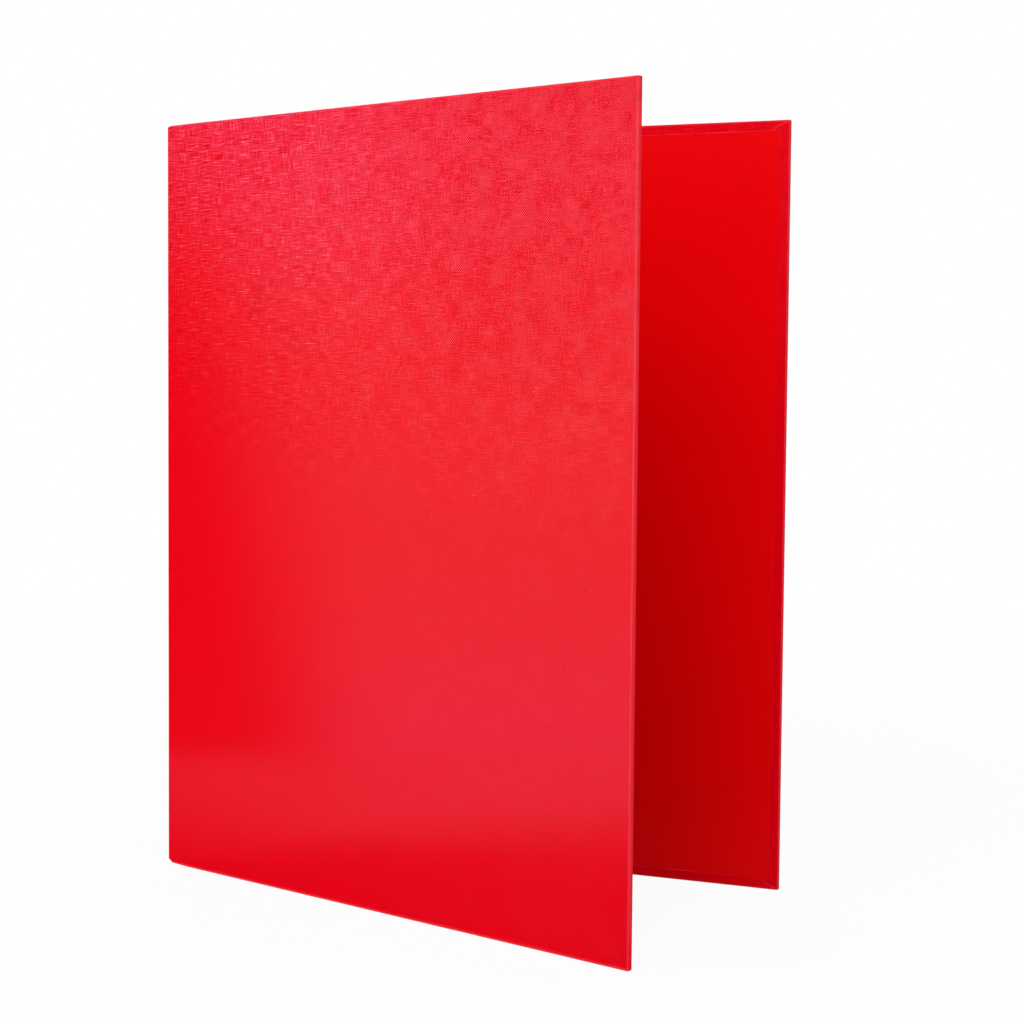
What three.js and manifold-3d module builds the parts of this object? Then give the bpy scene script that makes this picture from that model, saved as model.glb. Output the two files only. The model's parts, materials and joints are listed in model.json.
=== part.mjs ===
// Four-ring binder: three boards wrapped in a linen-grain sheet, with a D-ring mechanism on the rear cover.
// Millimetres, +Z up. The binder stands on its foot edges with its covers part open.
// Origin: middle of the spine's foot. +X runs across the spine to the front cover, +Y into the binder.
import * as THREE from 'three';
import { mergeVertices } from 'three/addons/utils/BufferGeometryUtils.js';
import Module from 'manifold-3d';

const wasm = await Module();
wasm.setup();

// Covers
const HEIGHT = 318;
const COVER_DEPTH = 255;
const SPINE_WIDTH = 70;
const FRONT_OPENING = THREE.MathUtils.degToRad(17.3);
const BOARD = 1.7;
const SHEET = 0.2;
const LINING = 0.2;
const GLUE = 0.1;
const TURN_IN = 16;
const LINING_MARGIN = 4;
const LINING_STEP = 0.4;
const EDGE_ROUND = 0.35;
const FOLD_CLEARANCE = 0.4;
const HINGE_CLOTH = 0.5;
const HINGE_END_GAP = 0.3;

const FOOT_THICKNESS = BOARD + 2 * SHEET + 2 * GLUE;
const COVER_THICKNESS = FOOT_THICKNESS + GLUE + LINING;
const HINGE_GAP = 2 * (COVER_THICKNESS + FOLD_CLEARANCE);
const SPINE_BOARD_HALF = SPINE_WIDTH / 2 - HINGE_GAP / 2;
const OUTER_FACE_Y = -FOOT_THICKNESS / 2;

// Ring mechanism, lengths along Z and widths across it
const RING_PITCH = 80;
const RING_COUNT = 4;
const HOUSING_HALF_WIDTH = 19;
const HOUSING_HEIGHT = 9.1;
const HOUSING_SHOULDER = 6;
const STEEL = 0.8;
const HOUSING_END_OVERHANG = 14;
const MECHANISM_FROM_HINGE = 22;
const NOTCH_CLEARANCE = 3;

// Blades, the two toggle plates under the housing
const BLADE = 1;
const BLADE_AXIS_INSET = 1.5;
const BLADE_AXIS_HEIGHT = 4.7;
const BLADE_RUNNING_GAP = 0.2;
const BLADE_HEEL = 0.3;
const CLOSED_TILT = THREE.MathUtils.degToRad(7);
const OPEN_TRAVEL = THREE.MathUtils.degToRad(16);
const BLADE_END_INSET = 3;

// Half rings
const WIRE_RADIUS = 1.5;
const RING_FOOT_INSET = 5;
const RING_HEIGHT = 54;
const STRAIGHT_BEND = 9;
const RING_BULGE = 4.5;
const RING_BULGE_HEIGHT = 30;
const TIP_GAP = 0.3;
const TIP_STRAIGHT = 2;
const TIP_CONE_RADIUS = 0.8;
const TIP_CONE_LENGTH = 1;
const TIP_CONE_ROOT = 1;
const TIP_CLEARANCE = 0.25;
const STUD_RADIUS = 0.95;
const STUD_CLEARANCE = 0.3;
const STUD_HEAD_RADIUS = 1.7;
const STUD_HEAD = 0.7;
const SEAT_GAP = 0.2;
const SLOT_CLEARANCE = 0.4;

// Levers
const LEVER_RATIO = 2;
const LEVER_HUB_RADIUS = 2.6;
const LEVER_HALF_WIDTH = 5.9;
const JAW_HALF_WIDTH = 2.5;
const JAW_ROUND = 0.5;
const JAW_CLEARANCE = 0.75;
const JAW_OVERLAP = 1.8;
const THUMB_LENGTH = 18;
const THUMB_HALF_WIDTH = 7;
const THUMB_THICKNESS = 1.2;
const THUMB_DISH = 1.4;
const THUMB_SHOULDER = 1;
const THUMB_ANGLE = THREE.MathUtils.degToRad(44);
const PIN_RADIUS = 1;
const PIN_FIT = 0.08;
const PIN_RUNNING_FIT = 0.2;
const PIN_HEAD_RADIUS = 1.7;
const PIN_HEAD = 0.6;
const EAR_GAP = 0.4;
const EAR_RADIUS = 4;
const EAR_TOP_DROP = 0.6;

// Rivets that hold the mechanism to the rear cover
const RIVET_PITCH = 160;
const RIVET_RADIUS = 2;
const RIVET_HEAD_RADIUS = 4.5;
const RIVET_HEAD = 1.1;
const RIVET_HOLE_CLEARANCE = 0.3;
const RIVET_TENON_RADIUS = 1.4;
const RIVET_RIM_RADIUS = 2.3;
const RIVET_RIM_TOP_RADIUS = 1.84;
const RIVET_RIM = 0.5;

// How far a cut runs past what it cuts
const CUT_SPARE = 2;

// Facets
const WIRE_ARC_STEPS = 5;
const ROUND_SIDES = 24;
const SMALL_SIDES = 12;
const ARC_STEPS = 9;
const TAB_ARC_STEPS = 16;
const DOME_STEPS = 4;
const STRAIGHT_RING_STEPS = 34;
const CURVED_RING_STEPS = 40;

const bladeAxisU = HOUSING_HALF_WIDTH - BLADE_AXIS_INSET;
const bladeReach = bladeAxisU - BLADE_RUNNING_GAP;
const ringFootU = HOUSING_HALF_WIDTH - RING_FOOT_INSET;
const outerRingZ = RING_PITCH * (RING_COUNT - 1) / 2;
const housingHalfLength = outerRingZ + HOUSING_END_OVERHANG;
const bladeHalfLength = housingHalfLength - BLADE_END_INSET;
const mechanismX = -SPINE_WIDTH / 2 + COVER_THICKNESS;
const mechanismY = OUTER_FACE_Y + MECHANISM_FROM_HINGE + HOUSING_HALF_WIDTH;
const mechanismZ = HEIGHT / 2;

// The lever's jaws follow the blades' inner edges, so their arm comes from the blades' rise and drop.
const bladeDrop = bladeReach * Math.sin(CLOSED_TILT);
const bladeRise = bladeReach * Math.sin(OPEN_TRAVEL - CLOSED_TILT);
const leverAxisHeight = BLADE_AXIS_HEIGHT + (bladeRise - bladeDrop) / 2;
const leverSwing = LEVER_RATIO * OPEN_TRAVEL;
const jawArm = (bladeRise + bladeDrop) / 2 / Math.sin(leverSwing / 2);
const jawOffset = BLADE / 2 + JAW_CLEARANCE + JAW_ROUND;

const leverAxisZ = bladeHalfLength - JAW_OVERLAP + jawArm;
const earInnerU = LEVER_HALF_WIDTH + EAR_GAP;
const earOuterU = earInnerU + STEEL;

function material(color, roughness, metalness) {
  return new THREE.MeshStandardMaterial({ color, roughness, metalness });
}

const linenRed = material(0xdc1430, 0.5, 0);
const liningRed = material(0xc8000f, 0.42, 0);
const greyBoard = material(0x9c9484, 0.95, 0);
const nickelSteel = material(0xc9ccd0, 0.22, 1);
const ringSteel = material(0xd9dcdf, 0.14, 1);

// Solids for joining and cutting
function toSolid(geometry) {
  const bare = geometry.index ? geometry.toNonIndexed() : geometry.clone();
  bare.deleteAttribute('normal');
  bare.deleteAttribute('uv');
  const merged = mergeVertices(bare, 1e-4);
  const corners = merged.index.array;
  const triangles = [];
  for (let i = 0; i < corners.length; i += 3) {
    const [a, b, c] = [corners[i], corners[i + 1], corners[i + 2]];
    if (a !== b && b !== c && c !== a) {
      triangles.push(a, b, c);
    }
  }
  return new wasm.Manifold(new wasm.Mesh({
    numProp: 3,
    vertProperties: new Float32Array(merged.attributes.position.array),
    triVerts: new Uint32Array(triangles),
  }));
}

function toGeometry(solid) {
  const mesh = solid.getMesh();
  const indexed = new THREE.BufferGeometry();
  indexed.setAttribute('position', new THREE.BufferAttribute(mesh.vertProperties, 3));
  indexed.setIndex(new THREE.BufferAttribute(mesh.triVerts, 1));
  const flat = indexed.toNonIndexed();
  flat.computeVertexNormals();
  return flat;
}

function box(low, high) {
  const size = high.map((value, i) => value - low[i]);
  const geometry = new THREE.BoxGeometry(...size);
  geometry.translate(...low.map((value, i) => value + size[i] / 2));
  return toSolid(geometry);
}

// A plate whose outline lies in X and Z, rounded along both faces' edges
function roundedPlate(low, high, round) {
  const outline = new THREE.Shape();
  outline.moveTo(low[0] + round, low[2] + round);
  outline.lineTo(high[0] - round, low[2] + round);
  outline.lineTo(high[0] - round, high[2] - round);
  outline.lineTo(low[0] + round, high[2] - round);
  outline.closePath();
  const geometry = new THREE.ExtrudeGeometry(outline, {
    depth: high[1] - low[1] - 2 * round,
    bevelEnabled: true,
    bevelSize: round,
    bevelThickness: round,
    bevelSegments: 3,
  });
  geometry.rotateX(Math.PI / 2);
  geometry.translate(0, high[1] - round, 0);
  return toSolid(geometry);
}

// A profile drawn in X and Y, run along Z between two heights
function prism(outline, lowZ, highZ, curveSegments = ARC_STEPS) {
  const geometry = new THREE.ExtrudeGeometry(outline, {
    depth: highZ - lowZ,
    bevelEnabled: false,
    curveSegments,
  });
  geometry.translate(0, 0, lowZ);
  return toSolid(geometry);
}

// A profile drawn in X (height over the cover) and Z, run along Y between two places
function crossPrism(outline, lowY, highY, curveSegments = ARC_STEPS) {
  const geometry = new THREE.ExtrudeGeometry(outline, {
    depth: highY - lowY,
    bevelEnabled: false,
    curveSegments,
  });
  geometry.rotateX(Math.PI / 2);
  geometry.translate(0, highY, 0);
  return toSolid(geometry);
}

// A profile drawn in Y and Z, run along X between two heights over the cover
function risePrism(outline, lowX, highX, curveSegments = ARC_STEPS) {
  const geometry = new THREE.ExtrudeGeometry(outline, {
    depth: highX - lowX,
    bevelEnabled: false,
    curveSegments,
  });
  geometry.applyMatrix4(new THREE.Matrix4().set(
    0, 0, 1, lowX,
    1, 0, 0, 0,
    0, 1, 0, 0,
    0, 0, 0, 1,
  ));
  return toSolid(geometry);
}

function polygon(points) {
  return new THREE.Shape(points.map(([x, y]) => new THREE.Vector2(x, y)));
}

function slotOutline(from, to, radius) {
  const outline = new THREE.Shape();
  const angle = Math.atan2(to[1] - from[1], to[0] - from[0]);
  outline.absarc(from[0], from[1], radius, angle + Math.PI / 2, angle + Math.PI * 3 / 2, false);
  outline.absarc(to[0], to[1], radius, angle - Math.PI / 2, angle + Math.PI / 2, false);
  outline.closePath();
  return outline;
}

// A rod along X (height over the cover), from a list of [height, radius]
function turnedAlongX(profile, y, z, sides = ROUND_SIDES) {
  const points = profile.map(([height, radius]) => new THREE.Vector2(radius, height));
  const geometry = new THREE.LatheGeometry(points, sides);
  geometry.rotateZ(-Math.PI / 2);
  geometry.translate(0, y, z);
  return toSolid(geometry);
}

// A rod along Y (across the mechanism), from a list of [place, radius]
function turnedAlongY(profile, x, z, sides = ROUND_SIDES) {
  const points = profile.map(([place, radius]) => new THREE.Vector2(radius, place));
  const geometry = new THREE.LatheGeometry(points, sides);
  geometry.translate(x, 0, z);
  return toSolid(geometry);
}

function rodProfile(low, high, radius) {
  return [[low, 0], [low, radius], [high, radius], [high, 0]];
}

function addMesh(group, name, solid, finish) {
  const mesh = new THREE.Mesh(toGeometry(solid), finish);
  mesh.name = name;
  group.add(mesh);
  return mesh;
}

// Covers. A cover's own frame has X along the cover from the hinge axis and Y through its thickness.
// inward is +1 or -1: the way from the outer face to the inside.
function between(inward, nearOuter, nearInner) {
  const ends = [inward * nearOuter, inward * nearInner];
  return [Math.min(...ends), Math.max(...ends)];
}

function outerSheet(x0, x1, wrapsEnd, inward) {
  const [y0, y1] = between(inward, 0, FOOT_THICKNESS);
  const farEnd = wrapsEnd ? x1 : x1 + CUT_SPARE;
  const slab = roundedPlate([x0 - CUT_SPARE, y0, 0], [farEnd, y1, HEIGHT], EDGE_ROUND);
  const pocketEnd = wrapsEnd ? x1 - SHEET : x1 + CUT_SPARE;
  const windowEnd = wrapsEnd ? x1 - TURN_IN : x1 + CUT_SPARE;
  const [pocket0, pocket1] = between(inward, SHEET, FOOT_THICKNESS - SHEET);
  const [window0, window1] = between(inward, SHEET, FOOT_THICKNESS + CUT_SPARE);
  const pocket = box([x0 - 2 * CUT_SPARE, pocket0, SHEET], [pocketEnd, pocket1, HEIGHT - SHEET]);
  const window = box([x0 - 2 * CUT_SPARE, window0, TURN_IN], [windowEnd, window1, HEIGHT - TURN_IN]);
  const keep = box([x0, y0 - CUT_SPARE, -CUT_SPARE], [x1, y1 + CUT_SPARE, HEIGHT + CUT_SPARE]);
  return slab.subtract(pocket).subtract(window).intersect(keep);
}

function board(x0, x1, wrapsEnd, inward) {
  const wrap = SHEET + GLUE;
  const [y0, y1] = between(inward, wrap, wrap + BOARD);
  return box([x0, y0, wrap], [wrapsEnd ? x1 - wrap : x1, y1, HEIGHT - wrap]);
}

// The lining lies on the turn-ins and fills the step between them.
function lining(x0, x1, wrapsEnd, inward) {
  const margin = wrapsEnd ? LINING_MARGIN : 0;
  const inset = wrapsEnd ? TURN_IN + LINING_STEP : 0;
  const [y0, y1] = between(inward, FOOT_THICKNESS + GLUE, COVER_THICKNESS);
  const sheet = box([x0, y0, LINING_MARGIN], [x1 - margin, y1, HEIGHT - LINING_MARGIN]);
  const [pad0, pad1] = between(inward, SHEET + 2 * GLUE + BOARD, COVER_THICKNESS);
  const low = TURN_IN + LINING_STEP;
  const pad = box([x0, pad0, low], [x1 - inset, pad1, HEIGHT - low]);
  return sheet.add(pad);
}

function addCover(group, name, x0, x1, wrapsEnd, inward, drill) {
  addMesh(group, `${name}_outer_sheet`, drill(outerSheet(x0, x1, wrapsEnd, inward)), linenRed);
  addMesh(group, `${name}_board`, drill(board(x0, x1, wrapsEnd, inward)), greyBoard);
  addMesh(group, `${name}_lining`, drill(lining(x0, x1, wrapsEnd, inward)), liningRed);
}

// The strip of cloth round one hinge axis. spineWay and coverWay are the two boards' directions from it.
function hingeCloth(spineWay, spineIn, coverWay, coverIn) {
  const reach = HINGE_GAP / 2 - HINGE_END_GAP;
  const bend = reach / 2;
  const inside = spineIn.clone().add(coverIn).multiplyScalar(HINGE_CLOTH / (1 + spineIn.dot(coverIn)));
  const at = (way, along, inward, depth) =>
    way.clone().multiplyScalar(along).addScaledVector(inward, depth);
  const start = at(spineWay, reach, spineIn, 0);
  const bendStart = at(spineWay, bend, spineIn, 0);
  const bendEnd = at(coverWay, bend, coverIn, 0);
  const end = at(coverWay, reach, coverIn, 0);
  const innerEnd = at(coverWay, reach, coverIn, HINGE_CLOTH);
  const innerBendEnd = at(coverWay, bend, coverIn, HINGE_CLOTH);
  const innerBendStart = at(spineWay, bend, spineIn, HINGE_CLOTH);
  const innerStart = at(spineWay, reach, spineIn, HINGE_CLOTH);
  const outline = new THREE.Shape();
  outline.moveTo(start.x, start.y);
  outline.lineTo(bendStart.x, bendStart.y);
  outline.quadraticCurveTo(0, 0, bendEnd.x, bendEnd.y);
  outline.lineTo(end.x, end.y);
  outline.lineTo(innerEnd.x, innerEnd.y);
  outline.lineTo(innerBendEnd.x, innerBendEnd.y);
  outline.quadraticCurveTo(inside.x, inside.y, innerBendStart.x, innerBendStart.y);
  outline.lineTo(innerStart.x, innerStart.y);
  outline.closePath();
  return prism(outline, HINGE_END_GAP, HEIGHT - HINGE_END_GAP);
}

// Ring mechanism, in a frame with X = height over the rear lining, Y = across, Z = along, from its middle.
function housingProfile() {
  const w = HOUSING_HALF_WIDTH;
  const rise = HOUSING_HEIGHT - HOUSING_SHOULDER;
  const radius = (w * w + rise * rise) / (2 * rise);
  const centre = HOUSING_HEIGHT - radius;
  const hem = w - 2 * STEEL;
  const hemTop = BLADE_AXIS_HEIGHT - BLADE / 2 - 2 * BLADE_RUNNING_GAP;
  const innerRadius = radius - STEEL;
  const outerHalf = Math.asin(w / radius);
  const innerHalf = Math.asin((w - STEEL) / innerRadius);
  const outline = new THREE.Shape();
  outline.moveTo(0, w);
  outline.absarc(centre, 0, radius, outerHalf, -outerHalf, true);
  outline.lineTo(0, -w);
  outline.lineTo(0, -hem);
  outline.lineTo(hemTop, -hem);
  outline.lineTo(hemTop, STEEL - w);
  outline.absarc(centre, 0, innerRadius, -innerHalf, innerHalf, false);
  outline.lineTo(hemTop, w - STEEL);
  outline.lineTo(hemTop, hem);
  outline.lineTo(0, hem);
  outline.closePath();
  return outline;
}

// The end of the housing: two ears that carry a lever's pin, and the opening that its jaw moves in
function endEar(side, end) {
  const z0 = bladeHalfLength + 2 * BLADE_RUNNING_GAP;
  const z1 = leverAxisZ + EAR_RADIUS;
  const top = HOUSING_HEIGHT - EAR_TOP_DROP;
  const corner = EAR_RADIUS / 2;
  const outline = polygon([
    [0, end * z0],
    [0, end * (z1 - corner / 2)],
    [corner, end * z1],
    [top - corner, end * z1],
    [top, end * (z1 - corner)],
    [top, end * z0],
  ]);
  const [y0, y1] = between(side, earInnerU, earOuterU);
  const ear = crossPrism(outline, y0, y1);
  const hole = rodProfile(y0 - CUT_SPARE, y1 + CUT_SPARE, PIN_RADIUS + PIN_FIT);
  return ear.subtract(turnedAlongY(hole, leverAxisHeight, end * leverAxisZ));
}

function ringStations() {
  return Array.from({ length: RING_COUNT }, (_, i) => outerRingZ - i * RING_PITCH);
}

function rivetStations() {
  return [RIVET_PITCH / 2, -RIVET_PITCH / 2];
}

// How far a ring's foot drifts across the housing's top as the blade turns open
function footDrift() {
  const arm = HOUSING_HEIGHT - BLADE_AXIS_HEIGHT;
  const lean = bladeAxisU - ringFootU;
  const turned = lean * Math.cos(OPEN_TRAVEL) - arm * Math.sin(OPEN_TRAVEL);
  return lean - turned;
}

function housing() {
  let body = prism(housingProfile(), -housingHalfLength, housingHalfLength);
  const top = HOUSING_HEIGHT + CUT_SPARE;
  const slotRadius = WIRE_RADIUS + SLOT_CLEARANCE;
  for (const z of ringStations()) {
    for (const side of [-1, 1]) {
      const from = side * ringFootU;
      const to = side * (ringFootU + footDrift());
      const outline = slotOutline([from, z], [to, z], slotRadius);
      body = body.subtract(risePrism(outline, HOUSING_SHOULDER - STEEL, top));
    }
  }
  for (const z of rivetStations()) {
    const hole = rodProfile(HOUSING_SHOULDER, top, RIVET_TENON_RADIUS + PIN_RUNNING_FIT);
    body = body.subtract(turnedAlongX(hole, 0, z));
  }
  for (const end of [-1, 1]) {
    const [z0, z1] = between(end, leverAxisZ - jawArm - NOTCH_CLEARANCE, housingHalfLength + CUT_SPARE);
    body = body.subtract(box([HOUSING_SHOULDER, -earInnerU, z0], [top, earInnerU, z1]));
    for (const side of [-1, 1]) {
      body = body.add(endEar(side, end));
    }
  }
  return body;
}

// A blade in its own frame: origin on its outer edge's axis, Y towards the middle of the mechanism
function blade(inwardY) {
  const [y0, y1] = between(inwardY, -BLADE_HEEL, bladeReach);
  let plate = box([-BLADE / 2, y0, -bladeHalfLength], [BLADE / 2, y1, bladeHalfLength]);
  const [low, high] = [-BLADE / 2 - CUT_SPARE, BLADE / 2 + CUT_SPARE];
  const footY = inwardY * (bladeAxisU - ringFootU) / Math.cos(CLOSED_TILT);
  for (const z of ringStations()) {
    const hole = rodProfile(low, high, STUD_RADIUS + STUD_CLEARANCE);
    plate = plate.subtract(turnedAlongX(hole, footY, z));
  }
  for (const z of rivetStations()) {
    const hole = rodProfile(low, high, RIVET_RADIUS + 2 * RIVET_HOLE_CLEARANCE);
    plate = plate.subtract(turnedAlongX(hole, inwardY * bladeAxisU, z));
  }
  return plate;
}

// Heights of the blade's two faces where a ring's foot stands, with the blade closed
function bladeFacesAtFoot() {
  const middle = BLADE_AXIS_HEIGHT - (bladeAxisU - ringFootU) * Math.tan(CLOSED_TILT);
  const halfThickness = BLADE / 2 / Math.cos(CLOSED_TILT);
  const lean = STUD_HEAD_RADIUS * Math.tan(CLOSED_TILT);
  return [middle - halfThickness - lean, middle + halfThickness + lean];
}

function cubic(points) {
  return new THREE.CubicBezierCurve3(...points.map(([x, y]) => new THREE.Vector3(x, y, 0)));
}

function line(from, to) {
  return new THREE.LineCurve3(new THREE.Vector3(...from, 0), new THREE.Vector3(...to, 0));
}

// Control arm of a cubic that draws a quarter of a circle or ellipse
const QUARTER_ARM = 0.5523;

// The post on the side of the fore edge: straight up, one bend, and level to the tip
function straightRingPath(footTop) {
  const path = new THREE.CurvePath();
  const bendStart = RING_HEIGHT - STRAIGHT_BEND;
  const bendEnd = ringFootU - STRAIGHT_BEND;
  const arm = STRAIGHT_BEND * (1 - QUARTER_ARM);
  path.add(line([footTop, ringFootU], [bendStart, ringFootU]));
  path.add(cubic([
    [bendStart, ringFootU],
    [RING_HEIGHT - arm, ringFootU],
    [RING_HEIGHT, bendEnd + arm],
    [RING_HEIGHT, bendEnd],
  ]));
  path.add(line([RING_HEIGHT, bendEnd], [RING_HEIGHT, TIP_GAP / 2]));
  return path;
}

// The side towards the spine: it swells outwards and comes over in a quarter of an ellipse
function curvedRingPath(footTop) {
  const path = new THREE.CurvePath();
  const bulge = -ringFootU - RING_BULGE;
  const rise = RING_HEIGHT - RING_BULGE_HEIGHT;
  const run = -TIP_STRAIGHT - bulge;
  const swellStart = HOUSING_HEIGHT;
  const swell = (RING_BULGE_HEIGHT - swellStart) / 2;
  path.add(line([footTop, -ringFootU], [swellStart, -ringFootU]));
  path.add(cubic([
    [swellStart, -ringFootU],
    [swellStart + swell, -ringFootU],
    [RING_BULGE_HEIGHT - swell, bulge],
    [RING_BULGE_HEIGHT, bulge],
  ]));
  path.add(cubic([
    [RING_BULGE_HEIGHT, bulge],
    [RING_BULGE_HEIGHT + rise * QUARTER_ARM, bulge],
    [RING_HEIGHT, -TIP_STRAIGHT - run * QUARTER_ARM],
    [RING_HEIGHT, -TIP_STRAIGHT],
  ]));
  path.add(line([RING_HEIGHT, -TIP_STRAIGHT], [RING_HEIGHT, -TIP_GAP / 2]));
  return path;
}

function wire(path, steps) {
  const section = new THREE.Shape();
  section.absarc(0, 0, WIRE_RADIUS, 0, Math.PI * 2, false);
  const geometry = new THREE.ExtrudeGeometry(section, {
    steps,
    curveSegments: WIRE_ARC_STEPS,
    bevelEnabled: false,
    extrudePath: path,
  });
  return toSolid(geometry);
}

// The foot: a stud through the blade with its end spread under it
function ringFoot(footTop, headTop, y) {
  const stud = [
    [headTop - STUD_HEAD, 0],
    [headTop - STUD_HEAD, STUD_HEAD_RADIUS],
    [headTop, STUD_HEAD_RADIUS],
    [headTop, STUD_RADIUS],
    [footTop + WIRE_RADIUS, STUD_RADIUS],
    [footTop + WIRE_RADIUS, 0],
  ];
  return turnedAlongX(stud, y, 0, SMALL_SIDES);
}

function straightHalfRing(z) {
  const [under, over] = bladeFacesAtFoot();
  const footTop = over + SEAT_GAP;
  const cone = [
    [-TIP_GAP / 2 - TIP_CONE_LENGTH, 0],
    [TIP_GAP / 2, TIP_CONE_RADIUS],
    [TIP_GAP / 2 + TIP_CONE_ROOT, TIP_CONE_RADIUS],
    [TIP_GAP / 2 + TIP_CONE_ROOT, 0],
  ];
  return wire(straightRingPath(footTop), STRAIGHT_RING_STEPS)
    .add(ringFoot(footTop, under - SEAT_GAP, ringFootU))
    .add(turnedAlongY(cone, RING_HEIGHT, 0, SMALL_SIDES))
    .translate([0, 0, z]);
}

function curvedHalfRing(z) {
  const [under, over] = bladeFacesAtFoot();
  const footTop = over + SEAT_GAP;
  const socket = [
    [-TIP_GAP / 2 - TIP_CONE_LENGTH - TIP_CLEARANCE, 0],
    [-TIP_GAP / 2, TIP_CONE_RADIUS],
    [TIP_GAP / 2, TIP_CONE_RADIUS + TIP_CLEARANCE],
    [TIP_GAP / 2, 0],
  ];
  return wire(curvedRingPath(footTop), CURVED_RING_STEPS)
    .add(ringFoot(footTop, under - SEAT_GAP, -ringFootU))
    .subtract(turnedAlongY(socket, RING_HEIGHT, 0, SMALL_SIDES))
    .translate([0, 0, z]);
}

// A lever in its own frame at half travel: origin on its pin, -Z towards the middle of the mechanism.
function lever() {
  const hub = rodProfile(-LEVER_HALF_WIDTH, LEVER_HALF_WIDTH, LEVER_HUB_RADIUS);
  let body = turnedAlongY(hub, 0, 0);
  for (const level of [-jawOffset, jawOffset]) {
    const outline = slotOutline([level, -LEVER_HUB_RADIUS / 2], [level, -jawArm], JAW_ROUND);
    body = body.add(crossPrism(outline, -JAW_HALF_WIDTH, JAW_HALF_WIDTH));
  }
  body = body.add(thumbTab());
  const bore = rodProfile(-THUMB_HALF_WIDTH, THUMB_HALF_WIDTH, PIN_RADIUS + PIN_RUNNING_FIT);
  return body.subtract(turnedAlongY(bore, 0, 0));
}

// The thumb tab: a dished strip with a narrow neck between the ears and a round end
function thumbTab() {
  const neckEnd = EAR_RADIUS + THUMB_THICKNESS;
  const neckStart = LEVER_HUB_RADIUS - THUMB_THICKNESS;
  const half = THUMB_THICKNESS / 2;
  const middle = THUMB_LENGTH / 2;
  const side = new THREE.Shape();
  side.moveTo(-half, neckStart);
  side.quadraticCurveTo(-half - THUMB_DISH, middle, -half + THUMB_DISH / 2, THUMB_LENGTH);
  side.lineTo(half + THUMB_DISH / 2, THUMB_LENGTH);
  side.quadraticCurveTo(half - THUMB_DISH, middle, half, neckStart);
  side.closePath();
  const strip = crossPrism(side, -THUMB_HALF_WIDTH, THUMB_HALF_WIDTH);
  const roundStart = THUMB_LENGTH - THUMB_HALF_WIDTH;
  const neck = LEVER_HALF_WIDTH - EAR_GAP;
  const plan = new THREE.Shape();
  plan.moveTo(-neck, 0);
  plan.lineTo(-neck, neckEnd - THUMB_SHOULDER);
  plan.lineTo(-THUMB_HALF_WIDTH, neckEnd);
  plan.lineTo(-THUMB_HALF_WIDTH, roundStart);
  plan.absarc(0, roundStart, THUMB_HALF_WIDTH, Math.PI, 0, true);
  plan.lineTo(THUMB_HALF_WIDTH, neckEnd);
  plan.lineTo(neck, neckEnd - THUMB_SHOULDER);
  plan.lineTo(neck, 0);
  plan.closePath();
  const depth = THUMB_THICKNESS + THUMB_DISH;
  const tab = strip.intersect(risePrism(plan, -depth, depth, TAB_ARC_STEPS));
  return tab.rotate([0, THREE.MathUtils.radToDeg(THUMB_ANGLE), 0]);
}

function leverPin() {
  const end = earOuterU + SEAT_GAP;
  return [
    [-end - PIN_HEAD, 0],
    [-end - PIN_HEAD, PIN_HEAD_RADIUS],
    [-end, PIN_HEAD_RADIUS],
    [-end, PIN_RADIUS],
    [end, PIN_RADIUS],
    [end, PIN_HEAD_RADIUS],
    [end + PIN_HEAD, PIN_HEAD_RADIUS],
    [end + PIN_HEAD, 0],
  ];
}

// A rivet: domed head outside the rear cover, shank between the blades, end spread over the housing
function rivet() {
  const outside = -COVER_THICKNESS;
  const shoulder = HOUSING_HEIGHT - STEEL - SEAT_GAP;
  const rimBase = HOUSING_HEIGHT + SEAT_GAP / 2;
  const dome = Array.from({ length: DOME_STEPS + 1 }, (_, i) => {
    const angle = i / DOME_STEPS * Math.PI / 2;
    return [outside - RIVET_HEAD * Math.cos(angle), RIVET_HEAD_RADIUS * Math.sin(angle)];
  });
  return [
    ...dome,
    [outside, RIVET_RADIUS],
    [shoulder, RIVET_RADIUS],
    [shoulder, RIVET_TENON_RADIUS],
    [rimBase, RIVET_TENON_RADIUS],
    [rimBase, RIVET_RIM_RADIUS],
    [rimBase + RIVET_RIM, RIVET_RIM_TOP_RADIUS],
    [rimBase + RIVET_RIM, 0],
  ];
}

// Assembly
const binder = new THREE.Group();
binder.name = 'four_ring_binder';
const whole = (solid) => solid;

const spine = new THREE.Group();
spine.position.set(0, OUTER_FACE_Y, 0);
binder.add(spine);
addCover(spine, 'spine', -SPINE_BOARD_HALF, SPINE_BOARD_HALF, false, 1, whole);

const frontWay = new THREE.Vector2(Math.sin(FRONT_OPENING), Math.cos(FRONT_OPENING));
const frontIn = new THREE.Vector2(-frontWay.y, frontWay.x);
const rearWay = new THREE.Vector2(0, 1);
const rearIn = new THREE.Vector2(1, 0);
const spineIn = new THREE.Vector2(0, 1);

const frontHinge = new THREE.Group();
frontHinge.position.set(SPINE_WIDTH / 2, OUTER_FACE_Y, 0);
binder.add(frontHinge);
const frontCloth = hingeCloth(new THREE.Vector2(-1, 0), spineIn, frontWay, frontIn);
addMesh(frontHinge, 'front_hinge_cloth', frontCloth, linenRed);

const rearHinge = new THREE.Group();
rearHinge.position.set(-SPINE_WIDTH / 2, OUTER_FACE_Y, 0);
binder.add(rearHinge);
const rearCloth = hingeCloth(new THREE.Vector2(1, 0), spineIn, rearWay, rearIn);
addMesh(rearHinge, 'rear_hinge_cloth', rearCloth, linenRed);

const frontCover = new THREE.Group();
frontCover.position.copy(frontHinge.position);
frontCover.rotation.z = Math.PI / 2 - FRONT_OPENING;
binder.add(frontCover);
addCover(frontCover, 'front', HINGE_GAP / 2, COVER_DEPTH, true, 1, whole);

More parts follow.
